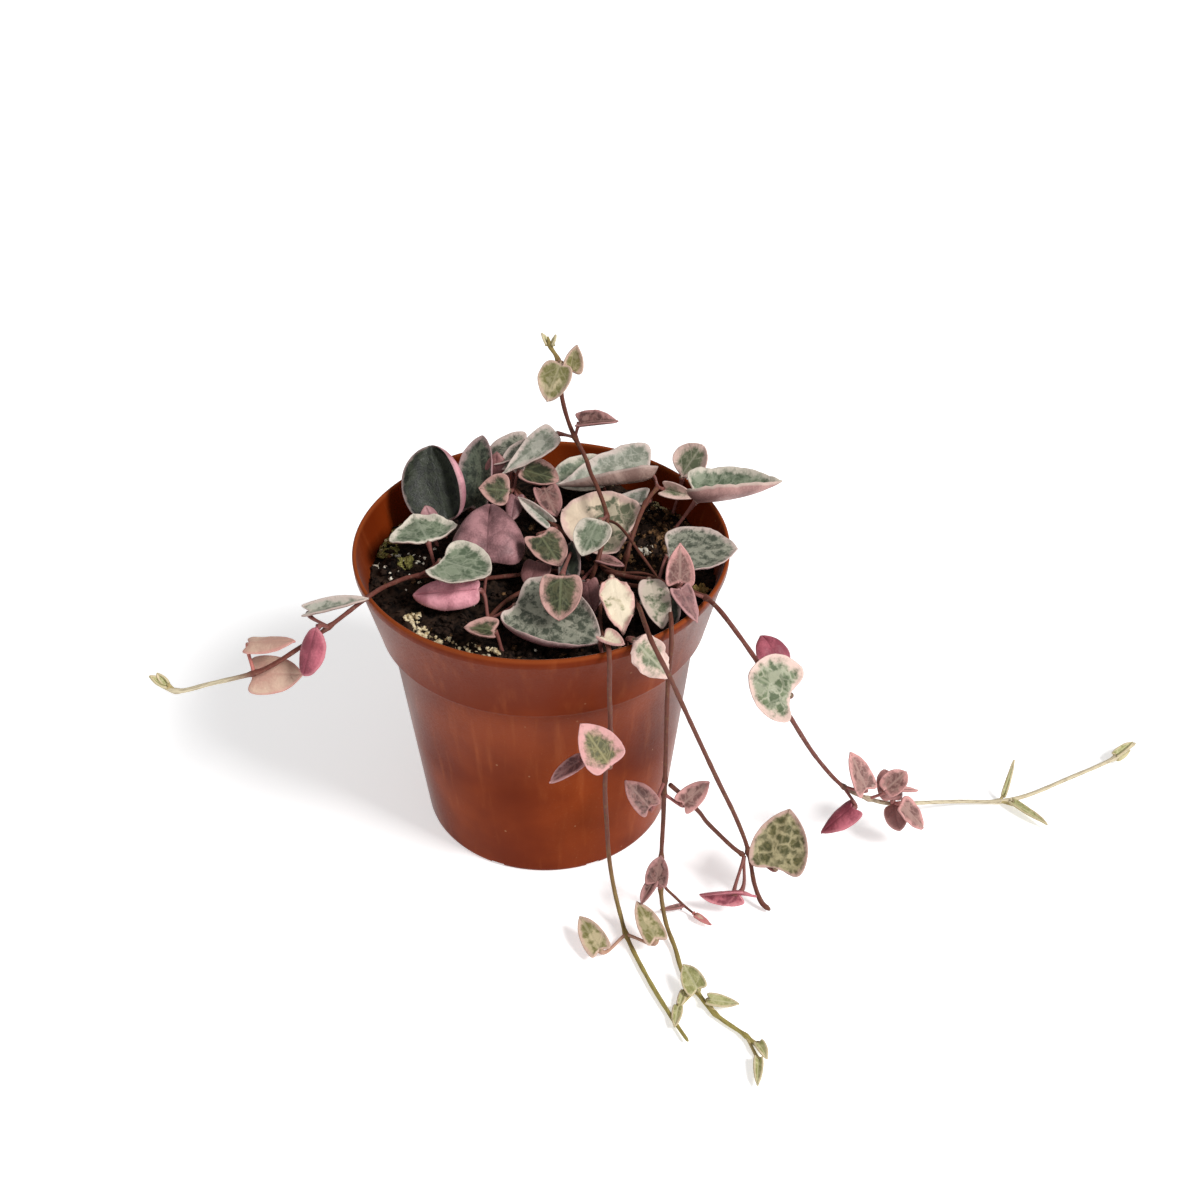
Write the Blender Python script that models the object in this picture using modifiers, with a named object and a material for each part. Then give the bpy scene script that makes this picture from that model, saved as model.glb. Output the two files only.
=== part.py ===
"""A potted string of hearts: a plastic nursery pot, its soil, the trailing stems and the leaves.

Metres, +Z up.  The origin is the middle of the pot's underside, on the surface that the pot
stands on.  Routes and leaf places are written in millimetres and scaled once, where meshes are made.
"""
import math
from typing import NamedTuple

import bmesh
import bpy
import numpy as np

MM = 0.001

# Pot: driving dimensions (mm)
RIM_RADIUS = 50.0
POT_HEIGHT = 89.4
BAND_BOTTOM = 66.4
BAND_BOTTOM_RADIUS = 44.7
BODY_TOP_RADIUS = 42.1
BASE_RADIUS = 35.3
WALL = 1.1
FLOOR = 1.4
EDGE = 0.5
POT_STEPS = 60
DRAIN_COUNT = 6
DRAIN_RING = 22.0
DRAIN_RADIUS = 4.0
SLOT_COUNT = 8
SLOT_WIDTH = 4.0
SLOT_HEIGHT = 1.0
SLOT_DEPTH = 3.0

# Soil (mm)
SOIL_TOP = 80.0
GAP = 0.3

# Stems (mm)
STEM_RADIUS = 0.6
STEM_STEP = 3.0
STEM_FACETS = 1

# Leaves (mm)
STALK_RADIUS = 0.45
STALK_RINGS = 3
STALK_CLEAR = STEM_RADIUS + STALK_RADIUS + 0.2
STALK_SAMPLES = 161
STALK_HANDLE = 3.5
HANDLE_SHARE = 0.35
HANDLE_ALONG = 0.6
HANDLE_BELOW = 0.8
UNDERSIDE_UP = 120
BLADE_THICKNESS = 0.9
BLADE_STATIONS = (0.12, 0.25, 0.42, 0.62, 0.82)
LOBE_DEPTH = 0.6
FULLNESS = 0.594
SIDES = 8

POT_COLOUR = (0.30, 0.07, 0.025)
SOIL_COLOUR = (0.02, 0.014, 0.01)
STEM_COLOURS = {"brown": (0.12, 0.045, 0.035)}
LEAF_COLOURS = {
    "dark": (0.06, 0.09, 0.06),
    "mottled": (0.22, 0.27, 0.2),
    "cream": (0.72, 0.62, 0.46),
    "pink": (0.45, 0.16, 0.2),
    "edged": (0.22, 0.2, 0.1),
    "olive": (0.3, 0.28, 0.14),
}


class Leaf(NamedTuple):
    """One leaf: where its blade starts, how the blade lies, and the stem knot its stalk leaves."""

    name: str
    knot: tuple
    base: tuple
    heading: float
    pitch: float
    roll: float
    length: float
    width: float
    fold: float
    curl: float
    finish: str


# Each stem's route, chosen by hand, from the soil or its parent stem to its growing tip (mm).
STEMS = {
    "stem_left": ("brown", [
        (11, -3, 81), (4, -5, 83), (-8, -7, 83), (-20, -8, 82.5), (-32, -9, 84.5), (-38, -17, 88),
        (-42, -25.5, 91), (-52, -35, 88), (-59, -38, 84), (-67, -41, 80), (-70.5, -42, 79),
        (-81.5, -42.5, 76), (-90.5, -43, 74), (-95, -41.5, 75)]),
    "stem_right": ("brown", [
        (16, 0, 81), (17.5, -6.5, 84), (23.5, -11.5, 86), (30.5, -16, 88), (36, -21.5, 90),
        (42, -27.5, 91.5), (45, -33, 92), (49.5, -37.5, 88), (54.5, -38, 80), (59.5, -37, 70),
        (65, -35, 58), (74.5, -30, 38), (83, -27, 25), (91, -24, 17.5), (99, -20.5, 12),
        (109, -14, 6), (121, -9.8, 2.3), (133, -8.6, 1.2), (141, -6.5, 1.2), (156, 0.5, 2),
        (171, 8, 3), (178.5, 13.5, 4)]),
    "stem_front_left": ("brown", [
        (16, -7.5, 81), (15.5, -20, 83), (15.8, -34, 86), (17, -43.5, 89.9), (17.6, -47.5, 91.3),
        (17.8, -50, 88.5), (17.8, -49, 79), (18, -47, 64), (16.8, -45.5, 44.5), (17.3, -46, 30),
        (18, -47.5, 18), (19.5, -51, 9), (21.2, -55.5, 4), (22.5, -59.5, 1.6), (28.3, -74.5, 1.2),
        (34.4, -87.5, 1.2), (37.7, -94, 1.5)]),
    "stem_front_middle": ("brown", [
        (21, -8, 81), (27, -13.5, 84), (32.5, -19.5, 86), (33, -30, 89.3), (33, -38, 91.2),
        (33, -42.3, 88), (32.5, -42.3, 77), (32.5, -43, 51), (32.5, -43, 43), (32.4, -43, 38),
        (32.4, -43.2, 29), (32.1, -45, 16), (32, -49, 8), (33.3, -56.5, 3), (35.6, -64, 1.3),
        (37.3, -72, 1.2), (40.4, -77.7, 1.2), (45, -85.3, 1.2), (52.6, -92.4, 1.3), (55.1, -95.8, 1.5)]),
    "stem_front_right": ("brown", [
        (18.5, -10.5, 81), (22, -17.5, 85), (24.4, -25.2, 89), (26.5, -41.8, 94.2),
        (27.7, -48.6, 95), (29.4, -51.8, 93), (31.6, -52, 88), (38, -49, 69), (46, -46, 46),
        (52, -43.5, 29), (56, -42.5, 15.5), (58, -46, 6), (60, -49, 2.2), (62, -50.5, 1.3)]),
    "stem_side_branch": ("brown", [
        (33.9, -43, 41.5), (37, -42, 37), (42.3, -41.5, 29.5), (44, -41, 26), (47.7, -41, 21),
        (52, -42, 16.5), (54.8, -42.9, 14.6)]),
    "stem_upright": ("brown", [
        (12.5, -8.5, 81), (14.5, -9, 88), (16.5, -3, 92.3), (17.3, 5.5, 93.5), (14.8, 14, 97),
        (13, 19, 98.3), (11.7, 24, 99.6), (8.7, 25, 106), (7.1, 25, 110.5), (5.4, 25, 118.2),
        (4.5, 25, 129.7), (2.5, 25, 133.8), (2, 25, 136.5)]),
    "stem_back_left": ("brown", [
        (13, 2.5, 81), (8.8, 5, 85.5), (4, 9.3, 87), (-2.8, 17, 88.6), (-8.3, 24, 90)]),
    "stem_back_right": ("brown", [
        (21.5, -3.5, 81), (22.5, -4.5, 87.5), (24.5, 0.5, 92), (27.7, 10, 94.5), (31.2, 18, 94.5)]),
    "stem_short_left": ("brown", [
        (9, -9, 81), (4, -10.5, 82.3), (-1, -11, 82.5), (-8, -17, 83), (-13, -24.5, 82),
        (-12.5, -31, 82.5)]),
}

BED = "bed"

LEAVES = [
    Leaf("back_left_tall", (BED, (-27, 13, 80.8)), (-28.5, 17.5, 83.5), 99, 49, 6, 21.5, 18.5, 24, 0, "dark"),
    Leaf("back_left_second", (BED, (-19, 21, 80.8)), (-20, 24.5, 83), 78, 52, 0, 20.5, 12, 20, 0, "dark"),
    Leaf("back_grey", (BED, (-12, 31, 80.8)), (-5.5, 35, 97), 192, -6, 12, 12.5, 10.5, 4, -30, "mottled"),
    Leaf("back_spoon", ("stem_upright", 7), (3.5, 31.2, 103.3), -154, -27, 15, 19, 9, 10, 0, "mottled"),
    Leaf("back_olive", ("stem_back_left", 4), (-6.5, 27, 94), -8, -12, 0, 11, 13, 8, 0, "edged"),
    Leaf("young_olive", ("stem_back_left", 4), (-9.3, 20, 91.8), 180, 7, 45, 8.5, 9.3, 10, 0, "olive"),
    Leaf("small_pink", ("stem_back_left", 3), (0.2, 22, 91.2), -66, -25, 0, 9.5, 7.5, 10, 0, "pink"),
    Leaf("left_pink_dome", (BED, (-15, -13, 80.8)), (-14, -9.5, 89.5), 90, 34, 180, 21.5, 19.5, 14, 50, "pink"),
    Leaf("left_heart", ("stem_left", 4), (-25.5, -12.5, 92), -26, 0, 0, 14.5, 18, 5, 0, "mottled"),
    Leaf("left_pink_low", ("stem_short_left", 4), (-15.5, -18.5, 87), 177, -8, -150, 17.5, 9.5, 20, 0, "pink"),
    Leaf("left_arrow", (BED, (-28, -3, 80.8)), (-30, -1, 90), 112, 0, 0, 13.5, 19.5, 0, 0, "mottled"),
    Leaf("front_large", ("stem_short_left", 4), (-6, -25, 87), -34, 0, -24, 26, 20.5, 14, 0, "mottled"),
    Leaf("front_heart", ("stem_back_left", 1), (6, -26.6, 97.6), -94, -38, 0, 11.5, 11, 8, 0, "edged"),
    Leaf("middle_edged", ("stem_back_left", 2), (-0.2, -4, 94), -55, -24, 0, 10.5, 11, 8, 0, "edged"),
    Leaf("middle_pale", ("stem_upright", 3), (15.4, -3, 98), -119, -29, 0, 11, 10.5, 5, 0, "mottled"),
    Leaf("middle_cream", ("stem_back_right", 1), (23.2, 4, 89), 152, 3, 22, 20.5, 20, 5, 0, "cream"),
    Leaf("back_folded", ("stem_back_right", 4), (29.5, 28.5, 92), -170, -2, -14, 26.5, 17, 44, 0, "mottled"),
    Leaf("back_veined", (BED, (17, 36, 80.8)), (15, 37, 87), -163, 0, 30, 14, 12, 5, 0, "mottled"),
    Leaf("curled_pink", ("stem_back_right", 4), (33.3, 20.2, 92.2), -30, 3, 0, 9.5, 6, 40, 0, "cream"),
    Leaf("back_right_small", (BED, (36, 25, 80.8)), (38.3, 28.5, 92), 38, 45, 0, 9.5, 11, 10, 0, "edged"),
    Leaf("back_right_wide", (BED, (34, 13, 80.8)), (41.5, 14, 92.5), -3, 3, 14, 23, 20, 40, 28, "mottled"),
    Leaf("right_large", ("stem_right", 3), (33.3, -9.4, 91.5), 1, 6, -3, 18, 19, 8, 0, "mottled"),
    Leaf("right_heart_up", ("stem_right", 4), (35.7, -23.5, 93.3), 91, 62, 0, 10, 7.5, 5, 0, "pink"),
    Leaf("right_pink_tip", ("stem_right", 5), (35.5, -27, 93.8), -62, -27, 0, 10, 6, 10, 0, "pink"),
    Leaf("front_white", ("stem_front_middle", 1), (28, -19.9, 91.5), -80, -10, 0, 17, 7.5, 20, 0, "cream"),
    Leaf("front_cream", ("stem_front_right", 1), (18.4, -22.3, 94), -80, -17, 0, 17, 9.5, 10, 0, "cream"),
    Leaf("over_rim", (BED, (22, -34, 80.8)), (23.7, -44, 91.2), -13, -48, -32, 14, 9.4, 5, 0, "cream"),
    Leaf("top_heart", ("stem_upright", 10), (5.3, 23, 129.8), -125, -52, 0, 10.5, 9.5, 5, 0, "olive"),
    Leaf("top_folded", ("stem_upright", 7), (10, 25.5, 110), -5, 8, -20, 10.5, 7, 40, 0, "pink"),
    Leaf("left_vine_long", ("stem_left", 7), (-57.5, -29.5, 88.4), 0, 16, -20, 16, 5.6, 40, 0, "mottled"),
    Leaf("left_vine_pink", ("stem_left", 7), (-54, -39.5, 89.3), -122, -56, 180, 10.5, 8.5, 10, 0, "pink"),
    Leaf("left_vine_upper", ("stem_left", 10), (-71.5, -38.1, 85.2), -5, 7, 180, 12, 7, 10, 0, "olive"),
    Leaf("left_vine_lower", ("stem_left", 10), (-71.5, -39.2, 76.2), -5, 4, 140, 13, 10.5, 10, 0, "olive"),
    Leaf("right_vine_pink", ("stem_right", 9), (60.8, -32, 73.5), 120, 62, 180, 9.5, 9.5, 10, 75, "pink"),
    Leaf("right_vine_heart", ("stem_right", 9), (63, -42.5, 75), 176, 32, 30, 12.5, 16.5, 5, 0, "mottled"),
    Leaf("right_vine_low", ("stem_right", 12), (85.5, -31, 21), -148, -44, 180, 11.5, 7.5, 10, 0, "pink"),
    Leaf("right_vine_up", ("stem_right", 12), (88.8, -28.5, 25.5), 131, 52, 0, 11.5, 8, 10, 0, "edged"),
    Leaf("right_vine_bud", ("stem_right", 13), (95, -25, 21.5), 29, 32, -20, 8, 7, 10, 0, "pink"),
    Leaf("right_vine_last", ("stem_right", 14), (100, -25, 16.5), -23, -43, 0, 10, 8, 10, 0, "pink"),
    Leaf("front_vine_heart", ("stem_front_left", 7), (17.9, -53.9, 58.6), 142, 44, 12, 13, 12, 10, 0, "edged"),
    Leaf("front_vine_dark", ("stem_front_middle", 8), (28.6, -47.4, 37.4), 142, 32, 20, 11, 8, 10, 0, "pink"),
    Leaf("front_vine_pair", ("stem_front_middle", 9), (37.3, -46.5, 37.8), 21, 38, -30, 10, 6.4, 10, 0, "pink"),
    Leaf("front_vine_diamond", ("stem_front_middle", 11), (30.5, -52.5, 14), 75, 43, 0, 7.5, 6.5, 10, 0, "pink"),
    Leaf("floor_left", ("stem_front_left", 13), (15.5, -66, 3), 121, 16, 20, 11, 7, 10, 0, "olive"),
    Leaf("floor_right", ("stem_front_left", 13), (30.3, -65, 6), 115, 15, 0, 11, 7, 10, 0, "olive"),
    Leaf("floor_large", ("stem_front_right", 10), (63, -47, 14), 70, 43, 0, 16.5, 16, 5, 0, "olive"),
    Leaf("floor_folded", ("stem_side_branch", 6), (53.5, -50, 7.5), 176, -8, 90, 11, 5, 40, 0, "pink"),
]


def clear_scene():
    """Remove every object the file opened with."""
    for old in list(bpy.data.objects):
        bpy.data.objects.remove(old, do_unlink=True)


def make_collection(name):
    """Make a collection under the scene's own."""
    group = bpy.data.collections.new(name)
    bpy.context.scene.collection.children.link(group)
    return group


def make_material(name, colour, roughness):
    """A plain Principled finish."""
    material = bpy.data.materials.new(name)
    material.use_nodes = True
    shader = material.node_tree.nodes["Principled BSDF"]
    shader.inputs["Base Color"].default_value = (*colour, 1.0)
    shader.inputs["Roughness"].default_value = roughness
    shader.inputs["Metallic"].default_value = 0.0
    material.diffuse_color = (*colour, 1.0)
    return material


def add_object(name, data, group, material):
    """Link an object for this data, dressed in one material."""
    thing = bpy.data.objects.new(name, data)
    group.objects.link(thing)
    if material is not None:
        data.materials.append(material)
    return thing


def turned(name, profile, steps, group, material):
    """A solid of revolution about Z from a profile in mm that starts and ends on the axis."""
    mesh = bpy.data.meshes.new(name)
    points = [(r * MM, 0.0, z * MM) for r, z in profile]
    mesh.from_pydata(points, [(i, i + 1) for i in range(len(points) - 1)], [])
    thing = add_object(name, mesh, group, material)
    screw = thing.modifiers.new("Turn", "SCREW")
    screw.axis = "Z"
    screw.steps = steps
    screw.render_steps = steps
    screw.use_merge_vertices = True
    screw.merge_threshold = 0.00001
    return thing


def cut(thing, cutter):
    """Subtract one closed cutter."""
    cutter.hide_render = True
    cutter.display_type = "WIRE"
    trim = thing.modifiers.new("Cut " + cutter.name, "BOOLEAN")
    trim.operation = "DIFFERENCE"
    trim.solver = "EXACT"
    trim.object = cutter


def drain_cutter(index, cutters):
    """A round drain hole through the pot's floor."""
    shape = bmesh.new()
    bmesh.ops.create_cone(shape, cap_ends=True, segments=16, radius1=DRAIN_RADIUS * MM,
                          radius2=DRAIN_RADIUS * MM, depth=4 * FLOOR * MM)
    mesh = bpy.data.meshes.new(f"drain_hole_{index}")
    shape.to_mesh(mesh)
    shape.free()
    hole = add_object(f"drain_hole_{index}", mesh, cutters, None)
    turn = 2 * math.pi * index / DRAIN_COUNT
    hole.location = (DRAIN_RING * MM * math.cos(turn), DRAIN_RING * MM * math.sin(turn), 0.0)
    return hole


def slot_cutter(index, cutters):
    """A small drain slot at the foot of the wall."""
    shape = bmesh.new()
    bmesh.ops.create_cube(shape, size=1.0)
    bmesh.ops.scale(shape, vec=(SLOT_DEPTH * MM, SLOT_WIDTH * MM, 2 * SLOT_HEIGHT * MM), verts=shape.verts)
    mesh = bpy.data.meshes.new(f"foot_slot_{index}")
    shape.to_mesh(mesh)
    shape.free()
    slot = add_object(f"foot_slot_{index}", mesh, cutters, None)
    turn = 2 * math.pi * (index + 0.5) / SLOT_COUNT
    reach = BASE_RADIUS - 0.5
    slot.location = (reach * MM * math.cos(turn), reach * MM * math.sin(turn), 0.0)
    slot.rotation_euler = (0.0, 0.0, turn)
    return slot


def build_pot(group, cutters):
    """The nursery pot: a tapered cup with a stepped band under its rim and drain holes."""
    ledge = BAND_BOTTOM + WALL
    profile = [
        (0.0, FLOOR),
        (BASE_RADIUS - WALL, FLOOR),
        (BODY_TOP_RADIUS - WALL, ledge),
        (BAND_BOTTOM_RADIUS - WALL, ledge),
        (RIM_RADIUS - WALL, POT_HEIGHT - 0.3),
        (RIM_RADIUS - 0.75 * WALL, POT_HEIGHT),
        (RIM_RADIUS - 0.25 * WALL, POT_HEIGHT),
        (RIM_RADIUS, POT_HEIGHT - 0.3),
        (BAND_BOTTOM_RADIUS, BAND_BOTTOM + 0.2),
        (BAND_BOTTOM_RADIUS - 0.3, BAND_BOTTOM),
        (BODY_TOP_RADIUS, BAND_BOTTOM),
        (BASE_RADIUS, EDGE),
        (BASE_RADIUS - EDGE, 0.0),
        (0.0, 0.0),
    ]
    pot = turned("pot", profile, POT_STEPS, group, make_material("pot_plastic", POT_COLOUR, 0.45))
    for index in range(DRAIN_COUNT):
        cut(pot, drain_cutter(index, cutters))
    for index in range(SLOT_COUNT):
        cut(pot, slot_cutter(index, cutters))
    return pot


def inner_radius(height):
    """The pot's inner radius at a height above its band's ledge."""
    ledge = BAND_BOTTOM + WALL
    share = (height - ledge) / (POT_HEIGHT - 0.3 - ledge)
    return BAND_BOTTOM_RADIUS - WALL + share * (RIM_RADIUS - BAND_BOTTOM_RADIUS)


def build_soil(group):
    """The plug of soil that fills the pot to a little under its rim."""
    ledge = BAND_BOTTOM + WALL + GAP
    floor = FLOOR + GAP
    profile = [
        (0.0, SOIL_TOP),
        (inner_radius(SOIL_TOP) - 4.0, SOIL_TOP),
        (inner_radius(SOIL_TOP) - GAP, SOIL_TOP - 0.8),
        (BAND_BOTTOM_RADIUS - WALL - GAP, ledge),
        (BODY_TOP_RADIUS - WALL - GAP - 0.1, ledge),
        (BASE_RADIUS - WALL - GAP - 0.1, floor),
        (0.0, floor),
    ]
    return turned("soil", profile, POT_STEPS // 2, group, make_material("soil", SOIL_COLOUR, 0.95))


def smooth_route(points, step):
    """Points every step along a centripetal Catmull-Rom curve through the route's own points."""
    given = np.asarray(points, dtype=float)
    padded = np.vstack([2 * given[0] - given[1], given, 2 * given[-1] - given[-2]])
    route = [given[0]]
    for a, b, c, d in zip(padded[:-3], padded[1:-2], padded[2:-1], padded[3:]):
        ta = 0.0
        tb = ta + math.sqrt(np.linalg.norm(b - a))
        tc = tb + math.sqrt(np.linalg.norm(c - b))
        td = tc + math.sqrt(np.linalg.norm(d - c))
        count = max(1, round(np.linalg.norm(c - b) / step))
        for t in np.linspace(tb, tc, count + 1)[1:]:
            ab = (tb - t) / (tb - ta) * a + (t - ta) / (tb - ta) * b
            bc = (tc - t) / (tc - tb) * b + (t - tb) / (tc - tb) * c
            cd = (td - t) / (td - tc) * c + (t - tc) / (td - tc) * d
            abc = (tc - t) / (tc - ta) * ab + (t - ta) / (tc - ta) * bc
            bcd = (td - t) / (td - tb) * bc + (t - tb) / (td - tb) * cd
            route.append((tc - t) / (tc - tb) * abc + (t - tb) / (tc - tb) * bcd)
    return np.array(route)


def build_stem(name, group, material):
    """A stem: a thin round tube along its route."""
    points = smooth_route(STEMS[name][1], STEM_STEP) * MM
    curve = bpy.data.curves.new(name, "CURVE")
    curve.dimensions = "3D"
    curve.bevel_depth = STEM_RADIUS * MM
    curve.bevel_resolution = STEM_FACETS
    curve.use_fill_caps = True
    line = curve.splines.new("POLY")
    line.points.add(len(points) - 1)
    line.points.foreach_set("co", np.column_stack([points, np.ones(len(points))]).ravel())
    return add_object(name, curve, group, material)


def blade_axes(leaf):
    """The blade's own axes: along the midrib, to its left, and out of its upper face."""
    heading, pitch, roll = np.radians([leaf.heading, leaf.pitch, leaf.roll])
    along = np.array([np.cos(pitch) * np.cos(heading), np.cos(pitch) * np.sin(heading), np.sin(pitch)])
    level = np.array([-np.sin(heading), np.cos(heading), 0.0])
    face = np.cross(along, level)
    side = np.cos(roll) * level - np.sin(roll) * face
    return along, side, np.cos(roll) * face + np.sin(roll) * level


def blade_points(leaf, across, station):
    """Points of the bent blade, from shares across (-1 to 1) and a station along it (0 to 1).

    The heart's edge is x = L (1/2 + cos(a)/2 - k sin(a)^2 sin(a/2)^6), y = c W sin(a) sin(a/2)^0.6,
    with the angle a falling from pi at the notch to 0 at the tip, and c set so that the blade is W
    wide.  A rib joins each edge point to the midrib.
    """
    angle = math.pi * (1.0 - station)
    half = math.sin(angle / 2)
    pull = LOBE_DEPTH * math.sin(angle) ** 2 * half ** 6
    edge_x = leaf.length * (0.5 + 0.5 * math.cos(angle) - pull)
    edge_y = FULLNESS * leaf.width * math.sin(angle) * half ** 0.6
    share = np.abs(across)
    x = (1 - share) * leaf.length * station + share * edge_x
    y = share * edge_y
    bend = math.radians(leaf.curl) / leaf.length
    if leaf.curl:
        reach, lift = np.sin(bend * x) / bend, (1 - np.cos(bend * x)) / bend
    else:
        reach, lift = x, 0 * x
    fold = math.radians(leaf.fold)
    up = y * math.sin(fold)
    along, side, face = blade_axes(leaf)
    centre = np.array(leaf.base)
    return (centre + np.outer(reach - np.sin(bend * x) * up, along)
            + np.outer(np.sign(across) * y * math.cos(fold), side)
            + np.outer(lift + np.cos(bend * x) * up, face))


def first_clear(path, stem):
    """The index of a path's first point that lies clear of a stem."""
    route = smooth_route(STEMS[stem][1], STEM_RADIUS)
    apart = np.linalg.norm(path[:, None] - route[None], axis=2).min(axis=1)
    return int(np.argmax(apart > STALK_CLEAR))


def stalk_path(leaf):
    """The stalk's centre line, from just clear of the stem to the blade's notch."""
    stem, place = leaf.knot
    start = np.array(place if stem == BED else STEMS[stem][1][place], dtype=float)
    end = np.array(leaf.base, dtype=float)
    along, _, face = blade_axes(leaf)
    handle = min(HANDLE_SHARE * np.linalg.norm(end - start), STALK_HANDLE)
    below = HANDLE_BELOW * face * (1 if abs(leaf.roll) < UNDERSIDE_UP else -1)
    near_end = end - handle * (HANDLE_ALONG * along + below)
    near_start = start + HANDLE_SHARE * (end - start)
    t = np.linspace(0, 1, STALK_SAMPLES)[:, None]
    path = ((1 - t) ** 3 * start + 3 * (1 - t) ** 2 * t * near_start
            + 3 * (1 - t) * t ** 2 * near_end + t ** 3 * end)
    walked = np.concatenate([[0], np.cumsum(np.linalg.norm(np.diff(path, axis=0), axis=1))])
    clear = 0.0 if stem == BED else walked[first_clear(path, stem)]
    stops = np.linspace(clear, walked[-1], STALK_RINGS + 1)
    return np.column_stack([np.interp(stops, walked, path[:, k]) for k in range(3)])


def ring_round(centre, tangent, side, radius):
    """A ring of SIDES points about a centre, square to the tangent."""
    tangent = tangent / np.linalg.norm(tangent)
    across = side - tangent * np.dot(side, tangent)
    across = across / np.linalg.norm(across)
    out = np.cross(tangent, across)
    turn = np.linspace(0, 2 * math.pi, SIDES, endpoint=False)
    return centre + radius * (np.outer(np.cos(turn), across) + np.outer(np.sin(turn), out))


def leaf_rings(leaf):
    """Cross-sections of one leaf, from the stalk's foot to the last section before the tip."""
    _, side, face = blade_axes(leaf)
    path = stalk_path(leaf)
    rings = []
    for index, centre in enumerate(path):
        ahead = path[min(index + 1, len(path) - 1)] - path[max(index - 1, 0)]
        rings.append(ring_round(centre, ahead, side, STALK_RADIUS))
    across = np.cos(np.linspace(0, 2 * math.pi, SIDES, endpoint=False))
    level = np.sin(np.linspace(0, 2 * math.pi, SIDES, endpoint=False))
    for station in BLADE_STATIONS:
        thick = 0.5 * BLADE_THICKNESS * (1.0 - 0.5 * station)
        sheet = blade_points(leaf, across, station)
        rings.append(sheet + np.outer(level * thick, face))
    return rings


def build_leaf(leaf, group, material):
    """A leaf: one closed skin lofted from the round stalk into the flat heart-shaped blade."""
    rings = leaf_rings(leaf)
    tip = blade_points(leaf, np.zeros(1), 1.0)
    foot = rings[0].mean(axis=0, keepdims=True)
    points = np.vstack(rings + [foot, tip]) * MM
    faces = []
    for lower in range(len(rings) - 1):
        for k in range(SIDES):
            a, b = lower * SIDES + k, lower * SIDES + (k + 1) % SIDES
            faces.append((a, b, b + SIDES, a + SIDES))
    last = (len(rings) - 1) * SIDES
    foot_index = len(rings) * SIDES
    for k in range(SIDES):
        faces.append((foot_index, (k + 1) % SIDES, k))
        faces.append((last + k, last + (k + 1) % SIDES, foot_index + 1))
    name = "leaf_" + leaf.name
    mesh = bpy.data.meshes.new(name)
    mesh.from_pydata(points.tolist(), [], faces)
    mesh.shade_smooth()
    return add_object(name, mesh, group, material)


def main():
    """Build every piece of the plant and its pot."""
    clear_scene()
    group = make_collection("potted_string_of_hearts")
    cutters = make_collection("cutters")
    build_pot(group, cutters)
    build_soil(group)
    barks = {key: make_material("stem_" + key, colour, 0.6) for key, colour in STEM_COLOURS.items()}
    for name, (finish, _) in STEMS.items():
        build_stem(name, group, barks[finish])
    skins = {key: make_material("leaf_" + key, colour, 0.5) for key, colour in LEAF_COLOURS.items()}
    for leaf in LEAVES:
        build_leaf(leaf, group, skins[leaf.finish])


main()
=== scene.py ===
"""A potted string of hearts: the dressed plant and pot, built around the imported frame.

Metres, +Z up, in the frame's own coordinates.  Routes, leaf places and sizes are written in
millimetres and scaled once, where a mesh is made.
"""
import logging
import math
from dataclasses import dataclass, field
from enum import Enum
from functools import partial

import bpy
import numpy as np
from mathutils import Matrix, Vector


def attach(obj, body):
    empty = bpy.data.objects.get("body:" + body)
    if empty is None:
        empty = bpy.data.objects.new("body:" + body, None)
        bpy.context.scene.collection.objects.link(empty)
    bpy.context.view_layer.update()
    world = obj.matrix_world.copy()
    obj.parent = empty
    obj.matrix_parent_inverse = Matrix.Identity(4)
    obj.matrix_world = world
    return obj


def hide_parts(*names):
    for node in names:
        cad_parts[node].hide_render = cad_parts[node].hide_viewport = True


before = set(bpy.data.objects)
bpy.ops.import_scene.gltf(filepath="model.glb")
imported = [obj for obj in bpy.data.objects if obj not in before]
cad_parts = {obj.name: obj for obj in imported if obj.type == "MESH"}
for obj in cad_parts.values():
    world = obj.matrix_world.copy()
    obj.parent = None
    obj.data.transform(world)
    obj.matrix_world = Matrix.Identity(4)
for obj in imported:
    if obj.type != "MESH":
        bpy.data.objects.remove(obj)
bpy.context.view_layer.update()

LOG = logging.getLogger("string_of_hearts")
MM = 0.001
FULL_TURN = 2 * math.pi
BODY = "root"
BED = "bed"
NOISE_CELLS = 32
OCTAVE_STEP = 2.03
TINY = 1e-6

Array = np.ndarray
Piece = bpy.types.Object
Material = bpy.types.Material
Socket = bpy.types.NodeSocket
Colour = int  # A display colour, written 0xRRGGBB.


def linear(colour: Colour) -> tuple[float, ...]:
    """A display colour's linear red, green and blue, with full opacity."""
    shares = [(colour >> shift & 0xFF) / 255.0 for shift in (16, 8, 0)]
    return (*(part / 12.92 if part <= 0.04045 else ((part + 0.055) / 1.055) ** 2.4
              for part in shares), 1.0)


# Surfaces as arrays

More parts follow.
